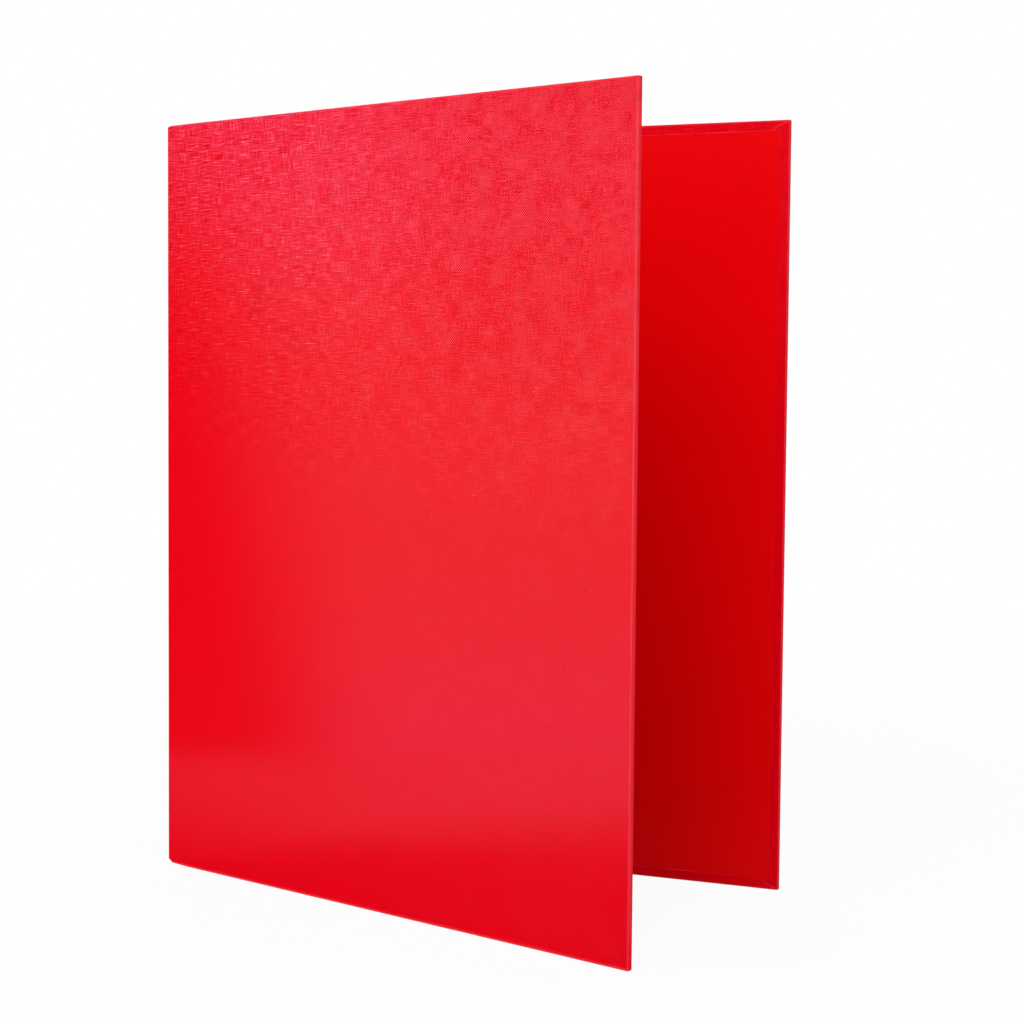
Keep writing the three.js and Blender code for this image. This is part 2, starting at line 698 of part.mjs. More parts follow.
const rearCover = new THREE.Group();
rearCover.position.copy(rearHinge.position);
rearCover.rotation.z = Math.PI / 2;
binder.add(rearCover);

// Rivet holes, in the rear cover's own frame
function drillForRivets(solid) {
  const holeRadius = RIVET_RADIUS + RIVET_HOLE_CLEARANCE;
  const along = mechanismY - OUTER_FACE_Y;
  return rivetStations().reduce((drilled, z) => {
    const hole = rodProfile(-COVER_THICKNESS - CUT_SPARE, CUT_SPARE, holeRadius);
    return drilled.subtract(turnedAlongY(hole, along, mechanismZ + z));
  }, solid);
}
addCover(rearCover, 'rear', HINGE_GAP / 2, COVER_DEPTH, true, -1, drillForRivets);

const mechanism = new THREE.Group();
mechanism.position.set(mechanismX, mechanismY, mechanismZ);
binder.add(mechanism);
addMesh(mechanism, 'mechanism_housing', housing(), nickelSteel);

rivetStations().forEach((z, i) => {
  const name = ['upper_rivet', 'lower_rivet'][i];
  addMesh(mechanism, name, turnedAlongX(rivet(), 0, z), nickelSteel);
});

for (const [name, side] of [['spine_side_blade', -1], ['fore_side_blade', 1]]) {
  const mesh = addMesh(mechanism, name, blade(-side), nickelSteel);
  mesh.position.set(BLADE_AXIS_HEIGHT, side * bladeAxisU, 0);
  mesh.rotation.z = -side * CLOSED_TILT;
}

ringStations().forEach((z, i) => {
  addMesh(mechanism, `curved_half_ring_${i + 1}`, curvedHalfRing(z), ringSteel);
  addMesh(mechanism, `straight_half_ring_${i + 1}`, straightHalfRing(z), ringSteel);
});

for (const [name, end] of [['upper', 1], ['lower', -1]]) {
  const place = [leverAxisHeight, 0, end * leverAxisZ];
  const pin = addMesh(mechanism, `${name}_lever_pin`, turnedAlongY(leverPin(), 0, 0), nickelSteel);
  pin.position.set(...place);
  const closed = lever().rotate([0, THREE.MathUtils.radToDeg(leverSwing / 2), 0]);
  const body = end > 0 ? closed : closed.mirror([0, 0, 1]);
  const mesh = addMesh(mechanism, `${name}_lever`, body, nickelSteel);
  mesh.position.set(...place);
}

export default binder;
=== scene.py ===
# Four-ring binder in red linen-grain board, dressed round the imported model.
# Metres, in the model's own frame: +X across the spine to the front cover, +Y into the binder, +Z up.
import json
from math import cos, pi, radians, sin, tan

import bpy
import numpy as np
from mathutils import Matrix, Vector


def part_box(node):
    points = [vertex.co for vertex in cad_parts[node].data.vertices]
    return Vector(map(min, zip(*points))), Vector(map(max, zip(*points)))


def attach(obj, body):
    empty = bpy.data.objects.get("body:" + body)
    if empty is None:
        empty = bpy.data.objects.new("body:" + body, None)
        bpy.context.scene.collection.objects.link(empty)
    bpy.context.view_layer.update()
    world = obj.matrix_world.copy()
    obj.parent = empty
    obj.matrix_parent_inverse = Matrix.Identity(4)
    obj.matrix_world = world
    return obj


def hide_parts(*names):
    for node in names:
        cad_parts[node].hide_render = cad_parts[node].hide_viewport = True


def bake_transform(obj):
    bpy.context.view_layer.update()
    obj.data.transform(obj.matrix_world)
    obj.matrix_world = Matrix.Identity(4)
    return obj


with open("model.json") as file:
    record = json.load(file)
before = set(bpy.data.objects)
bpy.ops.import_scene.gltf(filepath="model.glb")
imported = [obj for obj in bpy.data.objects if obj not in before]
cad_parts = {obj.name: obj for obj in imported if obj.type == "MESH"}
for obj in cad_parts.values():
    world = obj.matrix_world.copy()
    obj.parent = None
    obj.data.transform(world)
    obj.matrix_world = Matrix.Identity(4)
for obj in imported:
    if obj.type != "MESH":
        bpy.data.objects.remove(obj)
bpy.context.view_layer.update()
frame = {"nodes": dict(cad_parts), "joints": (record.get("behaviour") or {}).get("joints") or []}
MM = 0.001

# Sizes that come from the frame
SPINE_LOW, SPINE_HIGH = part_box("spine_outer_sheet")
HEIGHT = SPINE_HIGH.z
SPINE_HALF = SPINE_HIGH.x
OUTER_FACE_Y = SPINE_LOW.y
WRAPPED = SPINE_HIGH.y - SPINE_LOW.y
JOINTS = {joint["name"]: joint for joint in frame["joints"]}
FRONT_AXIS = Vector(JOINTS["front_cover_hinge"]["pos_m"])
REAR_AXIS = Vector(JOINTS["rear_cover_hinge"]["pos_m"])
FRONT_OPENING = radians(-JOINTS["front_cover_hinge"]["range_deg"][0])
COVER_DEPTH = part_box("rear_outer_sheet")[1].y - REAR_AXIS.y
BOARD_START = FRONT_AXIS.x - SPINE_HALF
LINING_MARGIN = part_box("rear_lining")[0].z

# Covering sheet
SHEET = 0.2 * MM
TURN_IN = 16 * MM
EDGE_ROUND = 0.3 * MM
CORNER_ROUND = 0.4 * MM
ARC_STEPS = 4
# Edges are lighter this far in, from wear and a painted highlight along their rounding
WEAR_AND_HIGHLIGHT_REACH = 0.9 * MM
EDGE_WEAR_AND_HIGHLIGHT = 0.35
TURN_IN_GLOSS = 0.06

# Mitred flap of the fore edge's turn-in
FLAP_STEP = 0.08 * MM
FLAP_RISE_RUN = 0.6 * MM
FLAP_SHEET = 0.13 * MM
FLAP_INSET = 0.15 * MM
FLAP_NOSE = 5.5 * MM
FLAP_SLOPE = 0.4
FLAP_WEAR_AND_HIGHLIGHT = 0.5 * MM
# The flap's cut edges are lighter, from cracking and a painted highlight
FLAP_CRACKS_AND_HIGHLIGHT = 1.6

# Lining, and the sheet round a hinge
LINING_STEP = 0.12 * MM
# How far in from its head and foot cuts the lining is lighter, from fraying and a painted highlight
LINING_WEAR_AND_HIGHLIGHT = 0.35 * MM
LINED = WRAPPED + LINING_STEP
DIP_OFFSET = 0.15 * MM
DIP_END = 1.2 * MM
CUT_LINES = (0, 0.04 * MM, LINING_STEP, 1 * MM)
HINGE_SHEET = 0.5 * MM
HINGE_BEND = 0.8 * MM
HINGE_LINING_BEND = 1.8 * MM
HINGE_FLAT = 2.2 * MM
HINGE_BEND_STEPS = 10
HINGE_END_ROUND = 0.3 * MM
HINGE_END_PULL = 0.3
FOOT_SAG = 1.8 * MM
HEAD_SAG = 0.5 * MM
SAG_REACH = 5 * MM
SAG_RISE = 20 * MM

# Steps of the meshes' lines, and the least distance between two of their places
HEIGHT_STEP = 11 * MM
COVER_STEP = 10 * MM
SPINE_STEP = 9 * MM
SAME_PLACE = 1e-6

# Angles in degrees past which an edge stays sharp
SHEET_ANGLE = 40
METAL_ANGLE = 38
BEVEL_ANGLE = 30

# Camera, fitted to the binder's corners in a picture of this many pixels
IMAGE_PIXELS = 1024
FOCAL_PIXELS = 2169.55
SENSOR_MM = 36
CAMERA_PLACE = Vector((0.82749, 0.51512, 0.21226))
CAMERA_AZIMUTH = radians(114.05)
CAMERA_PITCH = radians(3.553)
CAMERA_ROLL = radians(0.490)


def place_camera():
    """The camera looks along its azimuth, pitched down and rolled a little."""
    level = Vector((-sin(CAMERA_AZIMUTH), cos(CAMERA_AZIMUTH), 0))
    right = Vector((cos(CAMERA_AZIMUTH), sin(CAMERA_AZIMUTH), 0))
    forward = level * cos(CAMERA_PITCH) - Vector((0, 0, sin(CAMERA_PITCH)))
    up = level * sin(CAMERA_PITCH) + Vector((0, 0, cos(CAMERA_PITCH)))
    rolled_right = right * cos(CAMERA_ROLL) + up * sin(CAMERA_ROLL)
    rolled_up = up * cos(CAMERA_ROLL) - right * sin(CAMERA_ROLL)
    turn = Matrix((rolled_right, rolled_up, -forward)).transposed()
    data = bpy.data.cameras.new("camera")
    data.sensor_width = SENSOR_MM
    data.lens = FOCAL_PIXELS / IMAGE_PIXELS * SENSOR_MM
    camera = bpy.data.objects.new("camera", data)
    bpy.context.scene.collection.objects.link(camera)
    camera.matrix_world = Matrix.Translation(CAMERA_PLACE) @ turn.to_4x4()
    bpy.context.scene.camera = camera


place_camera()


# Materials
class Tree:
    """A node tree, with short calls that add a node and return its result."""

    def __init__(self, tree):
        self.tree = tree

    def add(self, kind, inputs=None, **settings):
        node = self.tree.nodes.new(kind)
        for name, value in settings.items():
            setattr(node, name, value)
        for name, value in (inputs or {}).items():
            if isinstance(value, bpy.types.NodeSocket):
                self.tree.links.new(value, node.inputs[name])
            else:
                node.inputs[name].default_value = value
        return node

    def join(self, value, socket):
        self.tree.links.new(value, socket)

    def math(self, operation, first, second=0.0, third=0.0):
        node = self.add("ShaderNodeMath", {0: first, 1: second, 2: third}, operation=operation)
        return node.outputs[0]

    def scaled(self, vector, scale):
        node = self.add("ShaderNodeVectorMath", {0: vector, 1: scale}, operation="MULTIPLY")
        return node.outputs[0]

    def noise(self, vector, scale, detail=2.0):
        node = self.add("ShaderNodeTexNoise", {"Vector": vector, "Scale": scale, "Detail": detail})
        return node.outputs[0]

    def between(self, value, low, high, to_low=0.0, to_high=1.0, shape="LINEAR"):
        """Where value lies from low to high, carried over to a place from to_low to to_high."""
        node = self.add(
            "ShaderNodeMapRange",
            {"Value": value, "From Min": low, "From Max": high, "To Min": to_low, "To Max": to_high},
            interpolation_type=shape,
        )
        return node.outputs[0]

    def smooth_step(self, value, low, high, to_low=0.0, to_high=1.0):
        return self.between(value, low, high, to_low, to_high, "SMOOTHSTEP")

    def blend(self, share, first, second):
        node = self.add("ShaderNodeMix", data_type="RGBA")
        for socket, value in ((node.inputs[0], share), (node.inputs[6], first), (node.inputs[7], second)):
            if isinstance(value, bpy.types.NodeSocket):
                self.join(value, socket)
            else:
                socket.default_value = value
        return node.outputs[2]

    def bump(self, height, distance, strength=1.0, under=None):
        inputs = {"Height": height, "Distance": distance, "Strength": strength}
        if under is not None:
            inputs["Normal"] = under
        return self.add("ShaderNodeBump", inputs).outputs[0]

    def show(self, result, kind="ShaderNodeOutputMaterial"):
        self.join(result, self.add(kind).inputs["Surface"])


def empty_material(name):
    """A new material and its tree, with no nodes in it."""
    material = bpy.data.materials.new(name)
    material.use_nodes = True
    material.node_tree.nodes.clear()
    return material, Tree(material.node_tree)


def principled(name, roughness, metallic=0.0):
    """A new material, its tree and its shader."""
    material, tree = empty_material(name)
    shader = tree.add("ShaderNodeBsdfPrincipled", {"Roughness": roughness, "Metallic": metallic})
    tree.show(shader.outputs[0])
    return material, tree, shader


def colour(red, green, blue):
    return (red, green, blue, 1.0)


SHEET_MAP = "sheet"
WEAVE_RUN = 1.15 * MM
WEAVE_RISE = 1.08 * MM
WEAVE_DRIFT = 0.6 * MM
SLUB_LENGTH = 8 * MM
SLUB_WIDTH = 0.38 * MM
STREAK_LENGTH = 6 * MM
STREAK_WIDTH = 0.5 * MM


def linen_grain(tree):
    """The embossed linen grain, as a height mostly within 2 of 0, and the place on the sheet.

    Slanting rows cross each other, slubs lie along the sheet and streaks stand up it. The grain fades towards
    the hinge and towards the foot.
    """
    place = tree.add("ShaderNodeUVMap", uv_map=SHEET_MAP).outputs[0]
    drift = tree.add("ShaderNodeTexNoise", {"Vector": place, "Scale": 200.0, "Detail": 1.0}).outputs["Color"]
    shaken = tree.add(
        "ShaderNodeVectorMath",
        {0: drift, 1: (WEAVE_DRIFT, WEAVE_DRIFT, 0), 2: place},
        operation="MULTIPLY_ADD",
    ).outputs[0]
    parts = tree.add("ShaderNodeSeparateXYZ", {"Vector": shaken})
    run = tree.math("MULTIPLY", parts.outputs[0], 2 * pi / WEAVE_RUN)
    rise = tree.math("MULTIPLY", parts.outputs[1], 2 * pi / WEAVE_RISE)
    rows = tree.math("COSINE", tree.math("SUBTRACT", run, rise))
    cross_rows = tree.math("COSINE", tree.math("ADD", run, rise))
    weave = tree.math("MULTIPLY_ADD", cross_rows, 0.7, tree.math("MULTIPLY", rows, 1.9))
    weave = tree.math("MULTIPLY", weave, tree.between(tree.noise(place, 95.0, 1.0), 0.35, 0.65, 0.4, 1.1))
    sides = tree.add("ShaderNodeSeparateXYZ", {"Vector": place})
    grain = tree.between(tree.noise(place, 1900.0, 0.0), 0.3, 0.7, -0.9, 0.9)
    # Painted light: the grain's painted light and shade, and its bump, fade towards the hinge, as the light
    # falls on it less there.
    light_fade_across = tree.between(sides.outputs[0], 0.07, 0.24, 0.2, 1.05)
    weave = tree.math("MULTIPLY", tree.math("ADD", weave, grain), light_fade_across)
    slub = tree.noise(tree.scaled(place, (1 / SLUB_LENGTH, 1 / SLUB_WIDTH, 1)), 1.0, 1.0)
    light_slubs = tree.between(slub, 0.55, 0.75, 0.0, 1.3)
    dark_slubs = tree.between(slub, 0.45, 0.25, 0.0, 0.95)
    slubs = tree.math("SUBTRACT", light_slubs, dark_slubs)
    streak = tree.noise(tree.scaled(place, (1 / STREAK_WIDTH, 1 / STREAK_LENGTH, 1)), 1.0, 1.0)
    streaks = tree.between(streak, 0.35, 0.65, -0.4, 0.4)
    height = tree.math("ADD", tree.math("ADD", weave, slubs), streaks)
    # Painted light: the grain's painted light and shade, and its bump, fade towards the foot, as the light
    # falls on it less there.
    light_fade_up = tree.between(sides.outputs[1], 0.15, 0.30, 0.25, 1.0)
    return tree.math("MULTIPLY", height, light_fade_up), place


def linen_sheet():
    """Red linen-grain sheet with lint: glossy raised threads, painted shade and sheen on the grain, folds
    lighter from wear and a painted highlight.
    """
    material, tree, shader = principled("linen_sheet", 0.45)
    height, place = linen_grain(tree)
    outside = tree.add("ShaderNodeAttribute", attribute_name="outside").outputs["Fac"]
    height = tree.math("MULTIPLY", height, tree.between(outside, 0.0, 1.0, 0.3, 1.0))
    # Painted light and shade of the grain: hollows darker, raised threads lighter with a painted pinkish
    # sheen.
    red = tree.blend(tree.between(height, -1.3, -0.1), colour(0.46, 0.0, 0.004), colour(0.75, 0.0, 0.007))
    red = tree.blend(tree.between(height, 0.3, 1.5), red, colour(1.0, 0.045, 0.06))
    spots = tree.add("ShaderNodeTexVoronoi", {"Vector": place, "Scale": 70.0}, voronoi_dimensions="2D")
    near = tree.math("LESS_THAN", spots.outputs["Distance"], 0.012)
    chance = tree.add("ShaderNodeSeparateXYZ", {"Vector": spots.outputs["Color"]}).outputs[0]
    lint = tree.math("MULTIPLY", near, tree.math("GREATER_THAN", chance, 0.94))
    red = tree.blend(tree.math("MULTIPLY", lint, 0.5), red, colour(0.95, 0.30, 0.32))
    # Edges and folds lighter: cracked wear and a painted highlight along their rounding.
    wear_and_highlight = tree.add("ShaderNodeAttribute", attribute_name="wear_and_highlight").outputs["Fac"]
    cracks_and_highlight = tree.between(tree.noise(place, 1100.0, 2.0), 0.35, 0.72, 0.3, 0.65)
    red = tree.blend(tree.math("MULTIPLY", wear_and_highlight, cracks_and_highlight), red, colour(1.0, 0.08, 0.12))
    tree.join(red, shader.inputs["Base Color"])
    raised = tree.between(height, -0.55, 0.95)
    tree.join(tree.math("MULTIPLY", raised, outside), shader.inputs["Coat Weight"])
    shader.inputs["Coat Roughness"].default_value = 0.15
    swell = tree.bump(tree.noise(place, 26.0, 2.0), 0.25 * MM, 0.5)
    bumped = tree.bump(height, 0.006 * MM, 1.0, swell)
    tree.join(bumped, shader.inputs["Normal"])
    tree.join(bumped, shader.inputs["Coat Normal"])
    shader.inputs["Specular IOR Level"].default_value = 0.0
    return material


def lining_paper():
    """Lining embossed with the same grain, but much flatter, with a satin skin and a lighter cut edge:
    fraying and a painted highlight.
    """
    material, tree, shader = principled("lining_paper", 0.36)
    height, place = linen_grain(tree)
    shade = tree.between(height, -4.0, 4.0)
    red = tree.blend(shade, colour(0.62, 0.0, 0.0), colour(0.98, 0.0, 0.004))
    wear_and_highlight = tree.add("ShaderNodeAttribute", attribute_name="wear_and_highlight").outputs["Fac"]
    # Lighter along the head and foot cuts: fraying and a painted highlight.
    frayed_and_highlight = tree.math("MULTIPLY", wear_and_highlight, tree.between(tree.noise(place, 55.0, 1.0), 0.4, 0.6, 0.1, 0.8))
    red = tree.blend(frayed_and_highlight, red, colour(1.0, 0.05, 0.10))
    tree.join(red, shader.inputs["Base Color"])
    tree.join(tree.between(height, -1.3, 1.3, 0.42, 0.34), shader.inputs["Roughness"])
    swell = tree.bump(tree.noise(place, 22.0, 2.0), 0.25 * MM, 0.5)
    tree.join(tree.bump(height, 0.004 * MM, 1.0, swell), shader.inputs["Normal"])
    shader.inputs["Specular IOR Level"].default_value = 0.06
    return material


def grey_board():
    """Raw grey board: flecked and rough."""
    material, tree, shader = principled("grey_board", 0.92)
    place = tree.add("ShaderNodeTexCoord").outputs["Object"]
    flecks = tree.noise(place, 1400.0, 3.0)
    red = tree.blend(flecks, colour(0.30, 0.27, 0.22), colour(0.46, 0.43, 0.37))
    tree.join(red, shader.inputs["Base Color"])
    tree.join(tree.bump(flecks, 0.05 * MM), shader.inputs["Normal"])
    return material


def nickel_steel():
    """Nickel-plated sheet steel, with drawn lines along it and a soft haze."""
    material, tree, shader = principled("nickel_steel", 0.28, 1.0)
    place = tree.add("ShaderNodeTexCoord").outputs["Object"]
    drawn = tree.noise(tree.scaled(place, (3200, 3200, 40)), 1.0, 2.0)
    haze = tree.noise(place, 90.0, 3.0)
    tint = tree.blend(haze, colour(0.60, 0.585, 0.55), colour(0.73, 0.72, 0.69))
    tree.join(tint, shader.inputs["Base Color"])
    rough = tree.math("ADD", tree.between(drawn, 0.3, 0.7, 0.2, 0.3), tree.between(haze, 0.35, 0.7, 0, 0.08))
    tree.join(rough, shader.inputs["Roughness"])
    tree.join(tree.bump(drawn, 0.004 * MM, 0.6), shader.inputs["Normal"])
    return material


def ring_wire():
    """Polished nickel-plated wire, a little uneven where sheets have rubbed it."""
    material, tree, shader = principled("ring_wire", 0.14, 1.0)
    place = tree.add("ShaderNodeTexCoord").outputs["Object"]
    rub = tree.noise(tree.scaled(place, (260, 260, 900)), 1.0, 3.0)
    tint = tree.blend(rub, colour(0.70, 0.69, 0.665), colour(0.80, 0.79, 0.77))
    tree.join(tint, shader.inputs["Base Color"])
    tree.join(tree.between(rub, 0.35, 0.7, 0.09, 0.2), shader.inputs["Roughness"])
    tree.join(tree.bump(rub, 0.003 * MM, 0.5), shader.inputs["Normal"])
    return material


FINISHES = {
    "linen_sheet": linen_sheet(),
    "lining_paper": lining_paper(),
    "grey_board": grey_board(),
    "nickel_steel": nickel_steel(),
    "ring_wire": ring_wire(),
}


# Sheets are drawn flat, as points (along, depth, height) of one cover, and then put in their place.
class Board:
    """A cover's or the spine's own frame: along from the hinge axis, depth inwards from the outer face."""

    def __init__(self, axis, way, inward, body):
        self.axis, self.way, self.inward, self.body = Vector(axis), Vector(way), Vector(inward), body
        self.turns = self.way.cross(self.inward).z

    def put(self, points):
        """Points in the row frame."""
        flat = np.asarray(points, float)
        basis = np.array([self.way, self.inward, (0, 0, 1)])
        return flat @ basis + np.array(self.axis)


SPINE = Board((0, OUTER_FACE_Y, 0), (1, 0, 0), (0, 1, 0), "spine")
FRONT = Board(
    FRONT_AXIS,
    (sin(FRONT_OPENING), cos(FRONT_OPENING), 0),
    (-cos(FRONT_OPENING), sin(FRONT_OPENING), 0),
    "front_cover",
)
REAR = Board(REAR_AXIS, (0, 1, 0), (1, 0, 0), "rear_cover")


def add_piece(name, points, faces, finishes, face_finish=None):
    """A smooth mesh object from points in the row frame. face_finish picks each face's finish by number."""
    mesh = bpy.data.meshes.new(name)
    mesh.from_pydata([tuple(p) for p in points], [], [tuple(int(i) for i in f) for f in faces])
    for finish in finishes:
        mesh.materials.append(FINISHES[finish])
    if face_finish is not None:
        mesh.polygons.foreach_set("material_index", np.asarray(face_finish, np.int32))
    mesh.polygons.foreach_set("use_smooth", [True] * len(mesh.polygons))
    mesh.update()
    piece = bpy.data.objects.new(name, mesh)
    bpy.context.scene.collection.objects.link(piece)
    return piece


def give_sheet_map(piece, flat, origin=0.0, end=None):
    """A map of the unfolded sheet, in metres along it and up it, carried round its folds.

    end is the place of the fore edge along the board, where it has one.
    """
    mesh = piece.data
    layer = mesh.uv_layers.new(name=SHEET_MAP)
    flat = np.asarray(flat, float)
    for polygon in mesh.polygons:
        corners = flat[list(polygon.vertices)]
        along, depth, height = corners.mean(axis=0)
        to_fore = np.inf if end is None else end - along
        folded = SAME_PLACE < depth < WRAPPED - SAME_PLACE
        round_fore = folded and to_fore < min(height, HEIGHT - height)
        for loop, (along, depth, height) in zip(polygon.loop_indices, corners):
            u = along + depth * round_fore
            v = height + depth * (folded and not round_fore)
            layer.data[loop].uv = (origin + u, v)


def thicken(piece, thickness):
    """Gives a sheet its thickness behind the face that it shows, and shades it smooth up to its cuts."""
    solid = piece.modifiers.new("thickness", "SOLIDIFY")
    solid.thickness = thickness
    solid.offset = -1
    bpy.context.view_layer.objects.active = piece
    bpy.ops.object.modifier_apply(modifier=solid.name)
    shade_by_angle(piece, SHEET_ANGLE)


def shade_by_angle(piece, angle):
    """Shades a mesh smooth, apart from its edges sharper than an angle, with flat faces left flat."""
    bpy.context.view_layer.objects.active = piece
    piece.select_set(True)
    bpy.ops.object.shade_smooth_by_angle(angle=radians(angle))
    piece.select_set(False)
    normals = piece.modifiers.new("normals", "WEIGHTED_NORMAL")
    normals.weight = 90
    normals.keep_sharp = True


def give_share(piece, name, values):
    """A share for each point, which the piece's material reads by name."""
    attribute = piece.data.attributes.new(name, "FLOAT", "POINT")
    attribute.data.foreach_set("value", np.asarray(values, np.float32))


def arc_stops(radius):
    """Distances that a square corner's lines take, so that softening makes equal arcs."""
    return [radius * tan(pi / 4 * i / ARC_STEPS) for i in range(ARC_STEPS + 1)]


def lines_between(low, high, step):
    count = max(1, round((high - low) / step))
    return list(np.linspace(low, high, count + 1))


def tidy_lines(values):
    """Sorted lines with near doubles taken out."""
    kept = []
    for value in sorted(values):
        if not kept or value - kept[-1] > SAME_PLACE:
            kept.append(value)
    return kept


def patch(first, second, place, outward):
    """A grid of quads over two lists of lines. place makes a point, and outward is the way its faces look."""
    points = np.array([place(p, q) for p in first for q in second], float)
    faces = []
    width = len(second)
    for i in range(len(first) - 1):
        for j in range(width - 1):
            k = i * width + j
            faces.append((k, k + width, k + width + 1, k + 1))
    a, b, c = points[faces[0][0]], points[faces[0][1]], points[faces[0][2]]
    if np.dot(np.cross(b - a, c - b), outward) < 0:
        faces = [tuple(reversed(f)) for f in faces]
    return points, faces


def merged(patches, keep):
    """Patches joined into one mesh, their shared points made one. keep says which faces stay."""
    points = np.vstack([p for p, _ in patches])
    faces, start = [], 0
    for p, f in patches:
        faces += [tuple(i + start for i in face) for face in f]
        start += len(p)
    _, first, back = np.unique(np.round(points, 8), axis=0, return_index=True, return_inverse=True)
    points = points[first]
    faces = [tuple(back.ravel()[i] for i in face) for face in faces]
    return points, [f for f in faces if keep(points[list(f)].mean(axis=0))]


def soften(points, end):
    """Rounds a square slab: its corners in the plane of the cover, and then all its edges.

    end is the place of the fore edge along the board, or None where the slab ends open.
    """
    a, b, z = np.array(points, float).T
    inner_a = a if end is None else np.minimum(a, end - CORNER_ROUND)
    inner_z = np.clip(z, CORNER_ROUND, HEIGHT - CORNER_ROUND)
    da, dz = a - inner_a, z - inner_z
    far = np.maximum(abs(da), abs(dz))
    length = np.where(far > 0, np.hypot(da, dz), 1)
    inner_b = np.clip(b, EDGE_ROUND, WRAPPED - EDGE_ROUND)
    over = np.maximum(far - (CORNER_ROUND - EDGE_ROUND), 0)
    db = b - inner_b
    span = np.hypot(over, db)
    shrink = np.where(span > 0, np.maximum(over, abs(db)) / np.where(span > 0, span, 1), 1)
    far = np.where(over > 0, CORNER_ROUND - EDGE_ROUND + over * shrink, far)
    rounded = np.where(over > 0, inner_b + db * shrink, b)
    return np.column_stack([inner_a + da / length * far, rounded, inner_z + dz / length * far])


def sag(along, height):
    """The sheet has no board under it at a hinge, so its head and foot draw in there."""
    near = np.clip(1 - np.abs(along) / SAG_REACH, 0, 1) ** 2
    low = np.clip(1 - height / SAG_RISE, 0, 1)
    high = np.clip(1 - (HEIGHT - height) / SAG_RISE, 0, 1)
    return near * (FOOT_SAG * low - HEAD_SAG * high)


def height_lines():
    """Lines up a board, close together where its ends are rounded and its turn-ins stop."""
    ends = []
    for radius in (CORNER_ROUND, EDGE_ROUND):
        for stop in arc_stops(radius):
            ends += [radius - stop, HEIGHT - radius + stop]
    ends += [WEAR_AND_HIGHLIGHT_REACH, HEIGHT - WEAR_AND_HIGHLIGHT_REACH]
    return tidy_lines(ends + lines_between(TURN_IN, HEIGHT - TURN_IN, HEIGHT_STEP))


def wrapped_board(name, board, start, end, closed, node):
    """The covering sheet round one board: its outer face, its edges and its turn-ins."""
    alongs = lines_between(start, end - (TURN_IN if closed else 0), COVER_STEP)
    if closed:
        alongs += [end, end - WEAR_AND_HIGHLIGHT_REACH]
        for radius in (CORNER_ROUND, EDGE_ROUND):
            alongs += [end - radius + stop for stop in arc_stops(radius)]
    alongs = tidy_lines(alongs)
    heights = height_lines()
    stops = arc_stops(EDGE_ROUND)
    depths = tidy_lines([EDGE_ROUND - s for s in stops] + [WRAPPED - EDGE_ROUND + s for s in stops])
    patches = [
        patch(alongs, heights, lambda p, q: (p, 0, q), (0, -1, 0)),
        patch(alongs, heights, lambda p, q: (p, WRAPPED, q), (0, 1, 0)),
        patch(alongs, depths, lambda p, q: (p, q, HEIGHT), (0, 0, 1)),
        patch(alongs, depths, lambda p, q: (p, q, 0), (0, 0, -1)),
    ]
    if closed:
        patches.append(patch(heights, depths, lambda p, q: (end, q, p), (1, 0, 0)))

    def stays(centre):
        over_window = centre[1] > WRAPPED - SAME_PLACE and TURN_IN < centre[2] < HEIGHT - TURN_IN
        return not (over_window and (not closed or centre[0] < end - TURN_IN))

    square, faces = merged(patches, stays)
    flat = soften(square, end if closed else None)
    from_hinge = flat[:, 0] if board is not SPINE else FRONT_AXIS.x - np.abs(flat[:, 0])
    lifted = flat.copy()
    lifted[:, 2] += sag(from_hinge, flat[:, 2])
    if board.turns < 0:
        faces = [tuple(reversed(f)) for f in faces]
    piece = add_piece(name, board.put(lifted), faces, ["linen_sheet"])
    give_sheet_map(piece, flat, 0.0 if board is SPINE else FRONT_AXIS.x, end if closed else None)
    give_share(piece, "outside", np.where(flat[:, 1] < WRAPPED / 2, 1.0, TURN_IN_GLOSS))
    # Lighter towards the edges and round the folds: wear and a painted highlight.
    to_edge = np.minimum(flat[:, 2], HEIGHT - flat[:, 2])
    if closed:
        to_edge = np.minimum(to_edge, end - flat[:, 0])
    to_face = np.minimum(flat[:, 1], WRAPPED - flat[:, 1])
    folded = np.clip(1 - to_face / EDGE_ROUND, EDGE_WEAR_AND_HIGHLIGHT, 1)
    give_share(piece, "wear_and_highlight", np.clip(1 - to_edge / WEAR_AND_HIGHLIGHT_REACH, 0, 1) * folded)
    thicken(piece, SHEET)
    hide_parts(node)
    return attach(piece, board.body)


